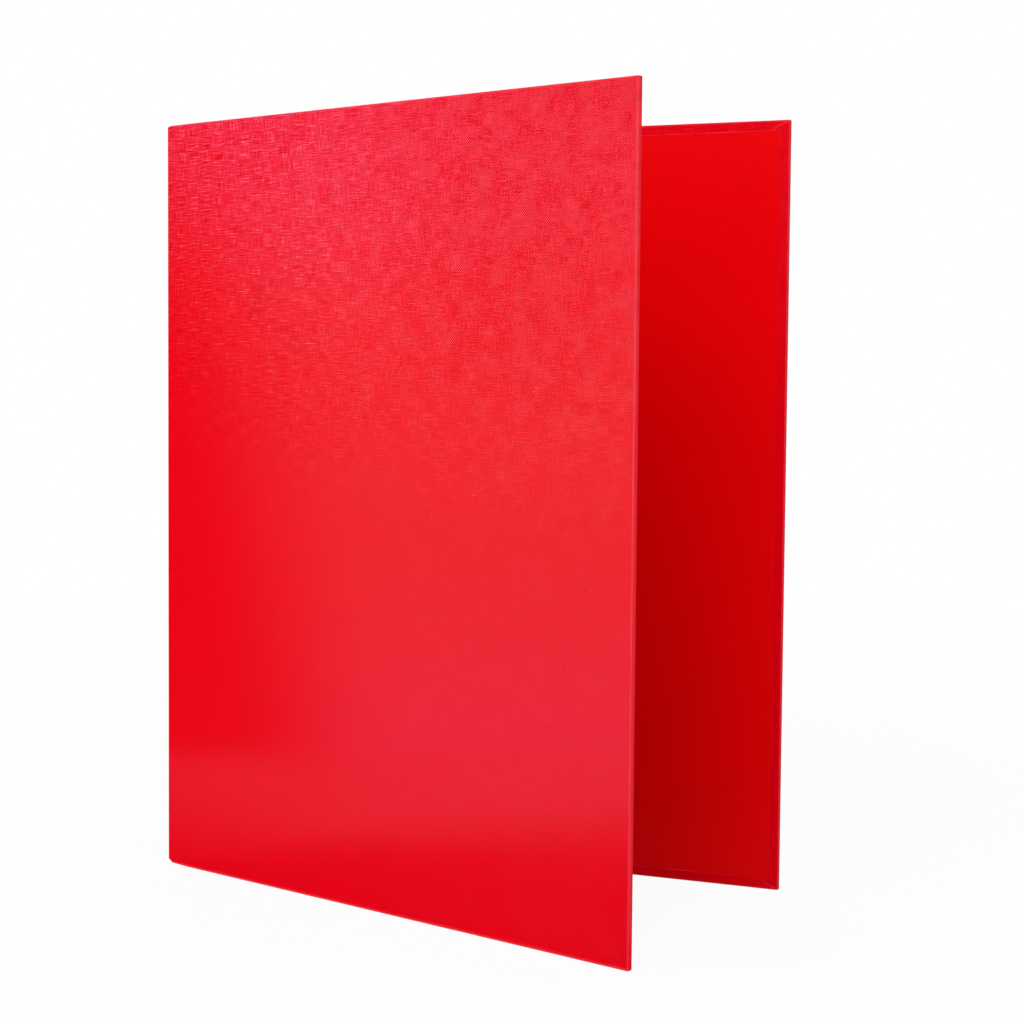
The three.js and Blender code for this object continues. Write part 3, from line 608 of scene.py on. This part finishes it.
def mitred_flap(name, board, end):
    """The fore edge's turn-in, folded last, so that its mitred ends lie over the head and foot turn-ins."""
    outer, inner = end - CORNER_ROUND, end - TURN_IN
    rises = {outer: 0.0, outer - FLAP_RISE_RUN: FLAP_STEP, end - FLAP_NOSE: FLAP_STEP, inner: FLAP_STEP}
    points, wear_and_highlight, faces = [], [], []
    # Each line across the flap holds its two cut edges, and then the two places where their wear and painted
    # highlight end.
    for along, rise in rises.items():
        run = end - along
        inset = FLAP_INSET + FLAP_SLOPE * min(run, FLAP_NOSE) + max(0, run - FLAP_NOSE)
        for width in (0, FLAP_WEAR_AND_HIGHLIGHT):
            points.append((along, WRAPPED + rise, inset + width))
            points.append((along, WRAPPED + rise, HEIGHT - inset - width))
            wear_and_highlight += [FLAP_CRACKS_AND_HIGHLIGHT * (width == 0)] * 2
    for k in range(0, 4 * (len(rises) - 1), 4):
        faces += [(k, k + 4, k + 6, k + 2), (k + 2, k + 6, k + 7, k + 3), (k + 3, k + 7, k + 5, k + 1)]
    if board.turns < 0:
        faces = [tuple(reversed(f)) for f in faces]
    piece = add_piece(name, board.put(points), faces, ["linen_sheet"])
    give_sheet_map(piece, points, FRONT_AXIS.x)
    give_share(piece, "outside", [TURN_IN_GLOSS] * len(points))
    give_share(piece, "wear_and_highlight", wear_and_highlight)
    thicken(piece, FLAP_SHEET)
    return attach(piece, board.body)


def dip_path():
    """The lining's way from the hinge strip up a board's hinge edge, as along and depth."""
    start = BOARD_START - DIP_OFFSET
    return [
        (start - 0.7 * MM, HINGE_SHEET),
        (start - 0.3 * MM, HINGE_SHEET + 0.05 * MM),
        (start - 0.06 * MM, HINGE_SHEET + 0.3 * MM),
        (start, HINGE_SHEET + 0.8 * MM),
        (start + 0.02 * MM, LINED - 0.5 * MM),
        (start + 0.12 * MM, LINED - 0.2 * MM),
        (start + 0.35 * MM, LINED - 0.04 * MM),
        (start + 0.7 * MM, LINED),
    ]


def lining_heights():
    """Lines up a lining, close together at its cuts."""
    ends = [LINING_MARGIN + run for run in (*CUT_LINES, LINING_WEAR_AND_HIGHLIGHT)]
    middle = lines_between(TURN_IN, HEIGHT - TURN_IN, HEIGHT_STEP)
    return tidy_lines(ends + [HEIGHT - e for e in ends] + middle)


def lining_sheet(name, board, columns, end, closed, node):
    """A lining from columns of along and depth, rolled down at its cut edges."""
    heights = np.array(lining_heights())
    points, wear_and_highlight = [], []
    for along, depth in columns:
        for height in heights:
            drop = 0.0
            if depth >= LINED - SAME_PLACE:
                cut = min(height, HEIGHT - height) - LINING_MARGIN
                if closed:
                    cut = min(cut, end - LINING_MARGIN - along)
                roll = np.clip(1 - cut / LINING_STEP, 0, 1)
                drop = LINING_STEP * (1 - (1 - roll**2) ** 0.5)
            points.append((along, depth - drop, height))
            # The head and foot cuts are lighter: fraying and a painted highlight.
            wear_and_highlight.append(float(min(height, HEIGHT - height) < LINING_MARGIN + LINING_WEAR_AND_HIGHLIGHT - SAME_PLACE))
    points = np.array(points)
    count = len(heights)
    faces = []
    for i in range(len(columns) - 1):
        for j in range(count - 1):
            k = i * count + j
            faces.append((k, k + 1, k + count + 1, k + count))
    rising = columns[-1][0] > columns[0][0]
    if (board.turns > 0) != rising:
        faces = [tuple(reversed(f)) for f in faces]
    piece = add_piece(name, board.put(points), faces, ["lining_paper"])
    give_sheet_map(piece, points, 0.0 if board is SPINE else FRONT_AXIS.x)
    give_share(piece, "wear_and_highlight", wear_and_highlight)
    thicken(piece, LINING_STEP)
    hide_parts(node)
    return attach(piece, board.body)


def cover_columns(end):
    """A cover lining's columns, from its dip at the hinge to its cut at the fore edge."""
    near = [end - LINING_MARGIN - run for run in CUT_LINES]
    alongs = tidy_lines(near + lines_between(BOARD_START + DIP_END, end - TURN_IN, COVER_STEP))
    return dip_path() + [(along, LINED) for along in alongs]


def spine_columns():
    """The spine lining's columns, from one hinge's dip to the other's."""
    right = [(FRONT_AXIS.x - along, depth) for along, depth in dip_path()]
    left = [(-along, depth) for along, depth in right]
    flat = lines_between(-SPINE_HALF + DIP_END, SPINE_HALF - DIP_END, SPINE_STEP)
    return left + [(along, LINED) for along in flat] + right[::-1]


def bend_line(first, corner, last):
    """Points of a quadratic bend from first to last round a corner."""
    t = np.linspace(0, 1, HINGE_BEND_STEPS + 1)[:, None]
    return (1 - t) ** 2 * first + 2 * t * (1 - t) * corner + t**2 * last


def hinge_section(cover, spine_way):
    """Outer and inner points across a hinge, flush with both boards and bent tightly between them."""
    spine_leg, cover_leg = np.array((spine_way, 0, 0), float), np.array(cover.way)
    spine_in, cover_in = np.array((0, 1, 0), float), np.array(cover.inward)
    corner = np.linalg.solve(np.array([spine_in[:2], cover_in[:2]]), np.full(2, HINGE_SHEET))
    corner = np.append(corner, 0)
    spine_rise, cover_rise = spine_in * HINGE_SHEET, cover_in * HINGE_SHEET
    outer = bend_line(spine_leg * HINGE_BEND, np.zeros(3), cover_leg * HINGE_BEND)
    inner = bend_line(
        spine_leg * HINGE_LINING_BEND + spine_rise,
        corner,
        cover_leg * HINGE_LINING_BEND + cover_rise,
    )
    for leg in (HINGE_FLAT, BOARD_START):
        outer = np.vstack([spine_leg * leg, outer, cover_leg * leg])
        inner = np.vstack([spine_leg * leg + spine_rise, inner, cover_leg * leg + cover_rise])
    return outer, inner


def hinge_strip(name, cover, spine_way, node):
    """The covering sheet and lining round one hinge, as one bent strip of the two glued together."""
    outer, inner = hinge_section(cover, spine_way)
    travelled = np.append(0, np.cumsum(np.linalg.norm(np.diff(outer, axis=0), axis=1)))
    travelled -= travelled[-1] / 2
    ends = [0, 0.04 * MM, 0.12 * MM, HINGE_END_ROUND, 2 * MM, 5 * MM, 10 * MM]
    middle = lines_between(SAG_RISE, HEIGHT - SAG_RISE, HEIGHT_STEP)
    heights = tidy_lines(ends + [HEIGHT - e for e in ends] + middle)
    axis = np.array(cover.axis)
    points, maps = [], []
    for out_point, in_point, run in zip(outer, inner, travelled):
        for height in heights:
            pull = HINGE_END_PULL * (1 - min(1, min(height, HEIGHT - height) / HINGE_END_ROUND))
            lift = sag(run, height)
            for share in (pull, 1 - pull):
                place = out_point + (in_point - out_point) * share + axis
                points.append((place[0], place[1], height + lift))
                maps.append((FRONT_AXIS.x + run, height))
    rows = len(heights)
    faces, finish = [], []

    def corner(i, j, side):
        return (i * rows + j) * 2 + side

    for i in range(len(outer) - 1):
        for j in range(rows - 1):
            faces.append((corner(i, j, 0), corner(i + 1, j, 0), corner(i + 1, j + 1, 0), corner(i, j + 1, 0)))
            faces.append((corner(i, j, 1), corner(i, j + 1, 1), corner(i + 1, j + 1, 1), corner(i + 1, j, 1)))
            finish += [0, 1]
        for j, order in ((0, 1), (rows - 1, -1)):
            face = (corner(i, j, 0), corner(i, j, 1), corner(i + 1, j, 1), corner(i + 1, j, 0))
            faces.append(face[::order])
            finish.append(0)
    for i, order in ((0, 1), (len(outer) - 1, -1)):
        for j in range(rows - 1):
            face = (corner(i, j, 0), corner(i, j + 1, 0), corner(i, j + 1, 1), corner(i, j, 1))
            faces.append(face[::order])
            finish.append(0)
    if spine_way > 0:
        faces = [tuple(reversed(f)) for f in faces]
    piece = add_piece(name, points, faces, ["linen_sheet", "lining_paper"], finish)
    layer = piece.data.uv_layers.new(name=SHEET_MAP)
    for polygon in piece.data.polygons:
        for loop, vertex in zip(polygon.loop_indices, polygon.vertices):
            layer.data[loop].uv = maps[vertex]
    give_share(piece, "outside", [1.0] * len(points))
    shade_by_angle(piece, SHEET_ANGLE)
    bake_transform(piece)
    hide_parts(node)
    return piece


def dress_covers():
    wrapped_board("spine_covering", SPINE, -SPINE_HALF, SPINE_HALF, False, "spine_outer_sheet")
    wrapped_board("front_covering", FRONT, BOARD_START, COVER_DEPTH, True, "front_outer_sheet")
    wrapped_board("rear_covering", REAR, BOARD_START, COVER_DEPTH, True, "rear_outer_sheet")
    mitred_flap("front_fore_turn_in", FRONT, COVER_DEPTH)
    mitred_flap("rear_fore_turn_in", REAR, COVER_DEPTH)
    lining_sheet("spine_lining_sheet", SPINE, spine_columns(), SPINE_HALF, False, "spine_lining")
    lining_sheet("front_lining_sheet", FRONT, cover_columns(COVER_DEPTH), COVER_DEPTH, True, "front_lining")
    lining_sheet("rear_lining_sheet", REAR, cover_columns(COVER_DEPTH), COVER_DEPTH, True, "rear_lining")
    hinge_strip("front_hinge_strip", FRONT, -1, "front_hinge_cloth")
    hinge_strip("rear_hinge_strip", REAR, 1, "rear_hinge_cloth")


# Ring mechanism, drawn as height over the rear lining and place across, at a height up the binder
HOUSING_LOW, HOUSING_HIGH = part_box("mechanism_housing")
BASE_X = HOUSING_LOW.x
MIDDLE_Y = (HOUSING_LOW.y + HOUSING_HIGH.y) / 2
RINGS = 4
WIRE = 1.5 * MM
RING_INSET = 5 * MM
TUBE_SIDES = 20
POST_POINTS = 12
BEND_STEPS = 18
SIDE_STEPS = 20
OVER_STEPS = 30
QUARTER_ARM = 0.5523  # a quarter circle's handle, in radii
RING_FOOT = HOUSING_HIGH.y - MIDDLE_Y - RING_INSET
RING_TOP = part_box("straight_half_ring_1")[1].x - BASE_X - WIRE
STRAIGHT_BEND = 9 * MM
RING_BULGE = 4.5 * MM
RING_BULGE_HEIGHT = 30 * MM
TIP_GAP = 0.3 * MM
TIP_STRAIGHT = 2 * MM
TIP_CONE = 0.8 * MM
TIP_CONE_LENGTH = 1 * MM
TIP_CLEARANCE = 0.25 * MM
TIP_BREAK = 0.12 * MM
TIP_POINT = 0.1 * MM
STUD = 0.95 * MM
STUD_HEAD = 1.7 * MM
STUD_DROP = 2.525 * MM
STUD_HEAD_THICK = 0.7 * MM
FOOT_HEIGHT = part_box("straight_half_ring_1")[0].x - BASE_X + STUD_DROP
RIVET_SIDES = 40
RIVET_DOME_STEPS = 8
RIVET_BODY = 2 * MM
RIVET_NECK = 1.4 * MM
RIVET_SHOULDER_DROP = 1 * MM


def cubic(p0, p1, p2, p3, steps):
    """Points of a cubic curve after its first."""
    t = np.linspace(0, 1, steps + 1)[1:, None]
    p0, p1, p2, p3 = (np.array(p, float) for p in (p0, p1, p2, p3))
    return (1 - t) ** 3 * p0 + 3 * (1 - t) ** 2 * t * p1 + 3 * (1 - t) * t**2 * p2 + t**3 * p3


def straight_ring_path():
    """The straight half's line: a post, a bend over it and a level run to the tip."""
    bend_start = RING_TOP - STRAIGHT_BEND
    bend_end = RING_FOOT - STRAIGHT_BEND
    arm = STRAIGHT_BEND * (1 - QUARTER_ARM)
    post = np.array([[h, RING_FOOT] for h in np.linspace(FOOT_HEIGHT, bend_start, POST_POINTS)])
    bend = cubic(
        (bend_start, RING_FOOT),
        (RING_TOP - arm, RING_FOOT),
        (RING_TOP, bend_end + arm),
        (RING_TOP, bend_end),
        BEND_STEPS,
    )
    return np.vstack([post, bend, [[RING_TOP, TIP_GAP / 2]]])


def curved_ring_path():
    """The curved half's line: a side that swells outwards, and an arc over it to the tip."""
    bulge = -RING_FOOT - RING_BULGE
    rise = RING_TOP - RING_BULGE_HEIGHT
    run = -TIP_STRAIGHT - bulge
    start = HOUSING_HIGH.x - BASE_X
    swell = (RING_BULGE_HEIGHT - start) / 2
    foot = np.array([[FOOT_HEIGHT, -RING_FOOT], [start, -RING_FOOT]])
    side = cubic(
        (start, -RING_FOOT),
        (start + swell, -RING_FOOT),
        (RING_BULGE_HEIGHT - swell, bulge),
        (RING_BULGE_HEIGHT, bulge),
        SIDE_STEPS,
    )
    over = cubic(
        (RING_BULGE_HEIGHT, bulge),
        (RING_BULGE_HEIGHT + rise * QUARTER_ARM, bulge),
        (RING_TOP, -TIP_STRAIGHT - run * QUARTER_ARM),
        (RING_TOP, -TIP_STRAIGHT),
        OVER_STEPS,
    )
    return np.vstack([foot, side, over, [[RING_TOP, -TIP_GAP / 2]]])


def swept_rod(stations, height):
    """A rod round stations of (place, direction, radius). A place is height over the lining, and across."""
    points, rows = [], []
    for place, direction, radius in stations:
        normal = np.array([-direction[1], direction[0]])
        if radius < SAME_PLACE:
            rows.append([len(points)])
            points.append((BASE_X + place[0], MIDDLE_Y + place[1], height))
            continue
        row = []
        for i in range(TUBE_SIDES):
            angle = 2 * pi * i / TUBE_SIDES
            across = place + normal * radius * cos(angle)
            row.append(len(points))
            points.append((BASE_X + across[0], MIDDLE_Y + across[1], height + radius * sin(angle)))
        rows.append(row)
    faces = []
    for low, high in zip(rows, rows[1:]):
        for i in range(TUBE_SIDES):
            j = (i + 1) % TUBE_SIDES
            if len(low) == 1:
                faces.append((low[0], high[j], high[i]))
            elif len(high) == 1:
                faces.append((low[i], low[j], high[0]))
            else:
                faces.append((low[i], low[j], high[j], high[i]))
    return points, faces


def along_path(path):
    """Each point of a path with its direction."""
    steps = np.diff(path, axis=0)
    ways = np.vstack([steps[:1], (steps[1:] + steps[:-1]) / 2, steps[-1:]])
    ways /= np.linalg.norm(ways, axis=1)[:, None]
    return list(zip(path, ways))


def half_ring(name, path, tip, height, body, node):
    """A half ring from its stud under the blade to its tip.

    tip is a list of (run beyond the path's end, radius).
    """
    up = np.array([1.0, 0.0])
    base = FOOT_HEIGHT - STUD_DROP
    foot = [
        (base, 0),
        (base, STUD_HEAD * 0.85),
        (base + 0.15 * MM, STUD_HEAD),
        (base + STUD_HEAD_THICK, STUD_HEAD),
        (base + STUD_HEAD_THICK, STUD),
        (FOOT_HEIGHT, STUD),
        (FOOT_HEIGHT, WIRE - 0.1 * MM),
        (FOOT_HEIGHT + 0.1 * MM, WIRE),
    ]
    across = path[0][1]
    stations = [(np.array([h, across]), up, r) for h, r in foot]
    line = along_path(path)
    stations += [(p, way, WIRE) for p, way in line[1:-1]]
    end, way = line[-1]
    stations += [(end + way * run, way, radius) for run, radius in tip]
    points, faces = swept_rod(stations, height)
    piece = add_piece(name, points, faces, ["ring_wire"])
    shade_by_angle(piece, METAL_ANGLE)
    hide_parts(node)
    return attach(piece, body)


def ring_tip(cone, length):
    """A ring's end, its rim broken: a cone that stands out by length, or a socket where length is below 0."""
    return [(-TIP_BREAK, WIRE), (0, WIRE - TIP_BREAK), (0, cone), (length, TIP_POINT), (length, 0)]


def turned(name, profile, y, z, node):
    """A steel piece on the rear cover, turned round a line along X from a profile of (x, radius)."""
    sides = RIVET_SIDES
    points, rows = [], []
    for x, radius in profile:
        if radius < SAME_PLACE:
            rows.append([len(points)] * sides)
            points.append((x, y, z))
            continue
        rows.append(list(range(len(points), len(points) + sides)))
        angles = [2 * pi * i / sides for i in range(sides)]
        points += [(x, y + radius * cos(angle), z + radius * sin(angle)) for angle in angles]
    faces = []
    for low, high in zip(rows, rows[1:]):
        for i in range(sides):
            j = (i + 1) % sides
            face = [low[i], low[j], high[j], high[i]]
            faces.append(tuple(dict.fromkeys(reversed(face))))
    piece = add_piece(name, points, faces, ["nickel_steel"])
    shade_by_angle(piece, METAL_ANGLE)
    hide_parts(node)
    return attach(piece, "rear_cover")


def rivet(name, node):
    """A rivet: a low dome outside the rear cover, and its end spread over the housing."""
    low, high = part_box(node)
    z = (low.z + high.z) / 2
    outside = REAR_AXIS.x
    head = outside - low.x
    head_radius = (high.z - low.z) / 2
    dome = []
    for i in range(RIVET_DOME_STEPS + 1):
        angle = pi / 2 * i / RIVET_DOME_STEPS
        dome.append((outside - head * cos(angle), head_radius * sin(angle)))
    shoulder = HOUSING_HIGH.x - RIVET_SHOULDER_DROP
    rim = HOUSING_HIGH.x + 0.1 * MM
    rest = [
        (outside + 0.05 * MM, head_radius * 0.98),
        (outside + 0.05 * MM, RIVET_BODY),
        (shoulder, RIVET_BODY),
        (shoulder, RIVET_NECK),
        (rim, RIVET_NECK),
        (rim, 2.2 * MM),
        (rim + 0.12 * MM, 2.3 * MM),
        (rim + 0.38 * MM, 2.05 * MM),
        (rim + 0.5 * MM, 1.6 * MM),
        (rim + 0.4 * MM, 1.0 * MM),
        (rim + 0.36 * MM, 0),
    ]
    return turned(name, dome + rest, MIDDLE_Y, z, node)


STEEL_EDGES = {
    "mechanism_housing": 0.15 * MM,
    "spine_side_blade": 0.1 * MM,
    "fore_side_blade": 0.1 * MM,
    "upper_lever": 0.2 * MM,
    "lower_lever": 0.2 * MM,
    "upper_lever_pin": 0.12 * MM,
    "lower_lever_pin": 0.12 * MM,
}


def dress_node(node, finish, bevel=0.0):
    """A CAD node that keeps its shape, with its material and, on metal, small broken edges."""
    piece = frame["nodes"][node]
    piece.data.materials.clear()
    piece.data.materials.append(FINISHES[finish])
    if bevel:
        weld = piece.modifiers.new("weld", "WELD")
        weld.merge_threshold = SAME_PLACE
        edges = piece.modifiers.new("edges", "BEVEL")
        edges.width = bevel
        edges.segments = 2
        edges.limit_method = "ANGLE"
        edges.angle_limit = radians(BEVEL_ANGLE)
        edges.harden_normals = True
        shade_by_angle(piece, BEVEL_ANGLE)


def dress_mechanism():
    cone = ring_tip(TIP_CONE, TIP_CONE_LENGTH)
    socket = ring_tip(TIP_CONE + TIP_CLEARANCE, -TIP_CONE_LENGTH - TIP_CLEARANCE)
    halves = (
        ("straight", straight_ring_path(), cone, "fore_side_jaws"),
        ("curved", curved_ring_path(), socket, "spine_side_jaws"),
    )
    for i in range(1, RINGS + 1):
        low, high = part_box(f"straight_half_ring_{i}")
        height = (low.z + high.z) / 2
        for half, path, tip, body in halves:
            half_ring(f"{half}_ring_{i}", path, tip, height, body, f"{half}_half_ring_{i}")
    for end in ("upper", "lower"):
        rivet(f"{end}_rivet_turned", f"{end}_rivet")
    for node, edge in STEEL_EDGES.items():
        dress_node(node, "nickel_steel", edge)


dress_covers()
for board_node in ("spine_board", "front_board", "rear_board"):
    dress_node(board_node, "grey_board")
dress_mechanism()


# Studio: a pale floor, a soft dome, soft lamps, and two panels that only reflections see
FLOOR_SIZE = (16.0, 16.0)
FLOOR_PANEL_REACH = 0.17
FLOOR_PANEL_LIFT = 1 * MM
FLOOR_PANEL_SIZE = (0.9, 0.4)
CAMERA_WHITE = 0.95
SOFTBOX_LEVEL = 1.22
SOFTBOX_PLACE = (0.235, -0.189, 0.16)
SOFTBOX_RIGHT = (-0.883, -0.464, 0)
SOFTBOX_SIZE = (0.8, 0.9)
DOME_LEVEL = 0.48
LIT_PLACE = Vector((0.05, 0.12, 0.14))


def flat_panel(name, size, material):
    """A rectangle in its own XY plane."""
    half_x, half_y = size[0] / 2, size[1] / 2
    corners = [(-half_x, -half_y, 0), (half_x, -half_y, 0), (half_x, half_y, 0), (-half_x, half_y, 0)]
    mesh = bpy.data.meshes.new(name)
    mesh.from_pydata(corners, [], [(0, 1, 2, 3)])
    mesh.materials.append(material)
    panel = bpy.data.objects.new(name, mesh)
    bpy.context.scene.collection.objects.link(panel)
    return panel


def in_view(tree, path):
    """1 for rays from the camera, through a clear thing or off a glossy one, and 0 for scattered light."""
    seen = tree.math("MAXIMUM", path.outputs["Is Camera Ray"], path.outputs["Is Transmission Ray"])
    return tree.math("MAXIMUM", seen, path.outputs["Is Glossy Ray"])


def studio_floor():
    """A pale floor that takes the shadow. The camera and mirrors see it near white."""
    material, tree = empty_material("floor")
    matt = tree.add("ShaderNodeBsdfDiffuse", {"Color": colour(0.80, 0.80, 0.80)})
    white = tree.add("ShaderNodeEmission", {"Color": colour(1, 1, 1), "Strength": 1.0})
    seen = in_view(tree, tree.add("ShaderNodeLightPath"))
    place = tree.add("ShaderNodeTexCoord").outputs["Object"]
    away = tree.add("ShaderNodeVectorMath", {0: place}, operation="LENGTH").outputs["Value"]
    whiter = tree.smooth_step(away, 0.35, 1.3, CAMERA_WHITE, 1.0)
    share = tree.math("MULTIPLY", seen, whiter)
    mix = tree.add("ShaderNodeMixShader", {0: share, 1: matt.outputs[0], 2: white.outputs[0]})
    tree.show(mix.outputs[0])
    flat_panel("floor", FLOOR_SIZE, material)


def studio_dome():
    """Even light all round. Mirrors see the white backdrop up to a darker ceiling."""
    world = bpy.data.worlds.new("dome")
    bpy.context.scene.world = world
    world.use_nodes = True
    world.node_tree.nodes.clear()
    tree = Tree(world.node_tree)
    path = tree.add("ShaderNodeLightPath")
    lit = tree.add("ShaderNodeBackground", {"Color": colour(1, 1, 1), "Strength": DOME_LEVEL})
    rise = tree.add("ShaderNodeSeparateXYZ", {"Vector": tree.add("ShaderNodeTexCoord").outputs["Generated"]})
    mirrored = tree.smooth_step(rise.outputs["Z"], 0.12, 0.7, 1.0, 0.2)
    level = tree.math("MAXIMUM", mirrored, tree.math("SUBTRACT", 1.0, path.outputs["Is Glossy Ray"]))
    white = tree.add("ShaderNodeBackground", {"Color": colour(1, 1, 1), "Strength": level})
    seen = in_view(tree, path)
    mix = tree.add("ShaderNodeMixShader", {0: seen, 1: lit.outputs[0], 2: white.outputs[0]})
    tree.show(mix.outputs[0], "ShaderNodeOutputWorld")


def soft_lamp(name, place, size, power):
    """A large square lamp that lights the object but isn't mirrored in it: the panels are."""
    data = bpy.data.lights.new(name, "AREA")
    data.shape = "RECTANGLE"
    data.size, data.size_y = size, size
    data.energy = power
    lamp = bpy.data.objects.new(name, data)
    bpy.context.scene.collection.objects.link(lamp)
    lamp.location = place
    lamp.rotation_euler = (LIT_PLACE - Vector(place)).to_track_quat("-Z", "Y").to_euler()
    lamp.visible_glossy = False


def reflected_panel(name, place, right, up, size, make_glow):
    """A panel that only reflections see. make_glow builds its brightness from its own coordinates."""
    material, tree = empty_material(name)
    parts = tree.add("ShaderNodeSeparateXYZ", {"Vector": tree.add("ShaderNodeTexCoord").outputs["Object"]})
    glow = tree.add("ShaderNodeEmission", {"Color": colour(1, 1, 1)})
    cover = make_glow(tree, parts.outputs[0], parts.outputs[1], glow)
    clear = tree.add("ShaderNodeBsdfTransparent")
    behind = tree.add("ShaderNodeNewGeometry").outputs["Backfacing"]
    hidden = tree.math("MAXIMUM", behind, tree.math("SUBTRACT", 1.0, cover))
    mix = tree.add("ShaderNodeMixShader", {0: hidden, 1: glow.outputs[0], 2: clear.outputs[0]})
    tree.show(mix.outputs[0])
    panel = flat_panel(name, size, material)
    right, up = Vector(right).normalized(), Vector(up).normalized()
    turn = Matrix((right, up, right.cross(up))).transposed()
    panel.matrix_world = Matrix.Translation(Vector(place)) @ turn.to_4x4()
    for flag in ("camera", "diffuse", "transmission", "volume_scatter", "shadow"):
        setattr(panel, "visible_" + flag, False)


def patch_of_light(tree, across, up, middle, spread):
    """1 in the middle of an oval, falling smoothly to 0 outside it."""
    x = tree.math("DIVIDE", tree.math("SUBTRACT", across, middle[0]), spread[0])
    y = tree.math("DIVIDE", tree.math("SUBTRACT", up, middle[1]), spread[1])
    far = tree.math("ADD", tree.math("MULTIPLY", x, x), tree.math("MULTIPLY", y, y))
    return tree.math("EXPONENT", tree.math("MULTIPLY", far, -1.0))


def softbox_glow(tree, across, up, glow):
    """Brightest high in the middle, dark low on the side of the hinge, and bluer above and below."""
    high = patch_of_light(tree, across, up, (0.005, 0.13), (0.09, 0.07))
    raised = tree.math("MAXIMUM", up, 0.0)
    edge = tree.math("MULTIPLY_ADD", up, 0.2, 0.055)
    edge = tree.math("MULTIPLY_ADD", tree.math("MULTIPLY", raised, raised), 1.2, edge)
    lit = tree.smooth_step(tree.math("SUBTRACT", across, edge), 0.05, -0.05)
    level = tree.math("MULTIPLY", lit, tree.math("MULTIPLY_ADD", high, 0.4, 1.0))
    far_side = tree.math("MULTIPLY", tree.smooth_step(across, 0.03, -0.06), tree.smooth_step(up, 0.0, 0.1))
    level = tree.math("MULTIPLY", level, tree.math("MULTIPLY_ADD", far_side, -0.6, 1.0))
    bluer = tree.math("MINIMUM", tree.math("MULTIPLY_ADD", tree.math("MULTIPLY", up, up), 40.0, 0.95), 2.0)
    blue = tree.math("MULTIPLY", level, bluer)
    tint = tree.add("ShaderNodeCombineXYZ", {0: level, 1: level, 2: blue})
    tree.join(tint.outputs[0], glow.inputs["Color"])
    glow.inputs["Strength"].default_value = SOFTBOX_LEVEL
    beside = tree.smooth_step(tree.math("ABSOLUTE", across), 0.35, 0.25)
    return tree.math("MULTIPLY", beside, tree.smooth_step(up, 0.35, 0.25))


def dark_floor_glow(tree, across, up, glow):
    """The floor near the binder: dark close to it and beside its fore edge, dimmer by the hinge, and cool."""
    fore_side = tree.math("MAXIMUM", tree.math("SUBTRACT", COVER_DEPTH / 2, across), 0.0)
    level = tree.smooth_step(tree.math("SUBTRACT", up, fore_side), -0.19, 0.04)
    level = tree.math("MULTIPLY", level, tree.smooth_step(across, 0.30, 0.08, 0.5, 1.0))
    cool = tree.smooth_step(up, 0.12, -0.05, 0.0, 0.06)
    blue = tree.math("MULTIPLY_ADD", level, 1.4, cool)
    tint = tree.add("ShaderNodeCombineXYZ", {0: level, 1: level, 2: blue})
    tree.join(tint.outputs[0], glow.inputs["Color"])
    glow.inputs["Strength"].default_value = SOFTBOX_LEVEL
    return tree.smooth_step(up, 0.19, 0.13)


studio_floor()
studio_dome()
soft_lamp("key", (1.5, 0.35, 1.1), 0.9, 6.8)
soft_lamp("high", (0.8, 0.1, 1.1), 0.6, 4.0)
soft_lamp("hinge_side", (0.6, -0.45, 0.3), 0.3, 1.2)
soft_lamp("mouth", (0.35, 1.3, 0.9), 0.5, 1.3)
soft_lamp("rear", (-1.4, -0.7, 0.9), 0.9, 7.0)
soft_lamp("fore_side", (0.9, 1.5, 0.9), 0.8, 3.8)
reflected_panel("mirrored_softbox", SOFTBOX_PLACE, SOFTBOX_RIGHT, (0, 0, 1), SOFTBOX_SIZE, softbox_glow)
FOOT_MIDDLE = FRONT.axis + FRONT.way * COVER_DEPTH / 2
reflected_panel(
    "mirrored_floor",
    FOOT_MIDDLE - FRONT.inward * FLOOR_PANEL_REACH + Vector((0, 0, FLOOR_PANEL_LIFT)),
    -FRONT.way,
    -FRONT.inward,
    FLOOR_PANEL_SIZE,
    dark_floor_glow,
)

bpy.context.scene.view_settings.view_transform = "Standard"
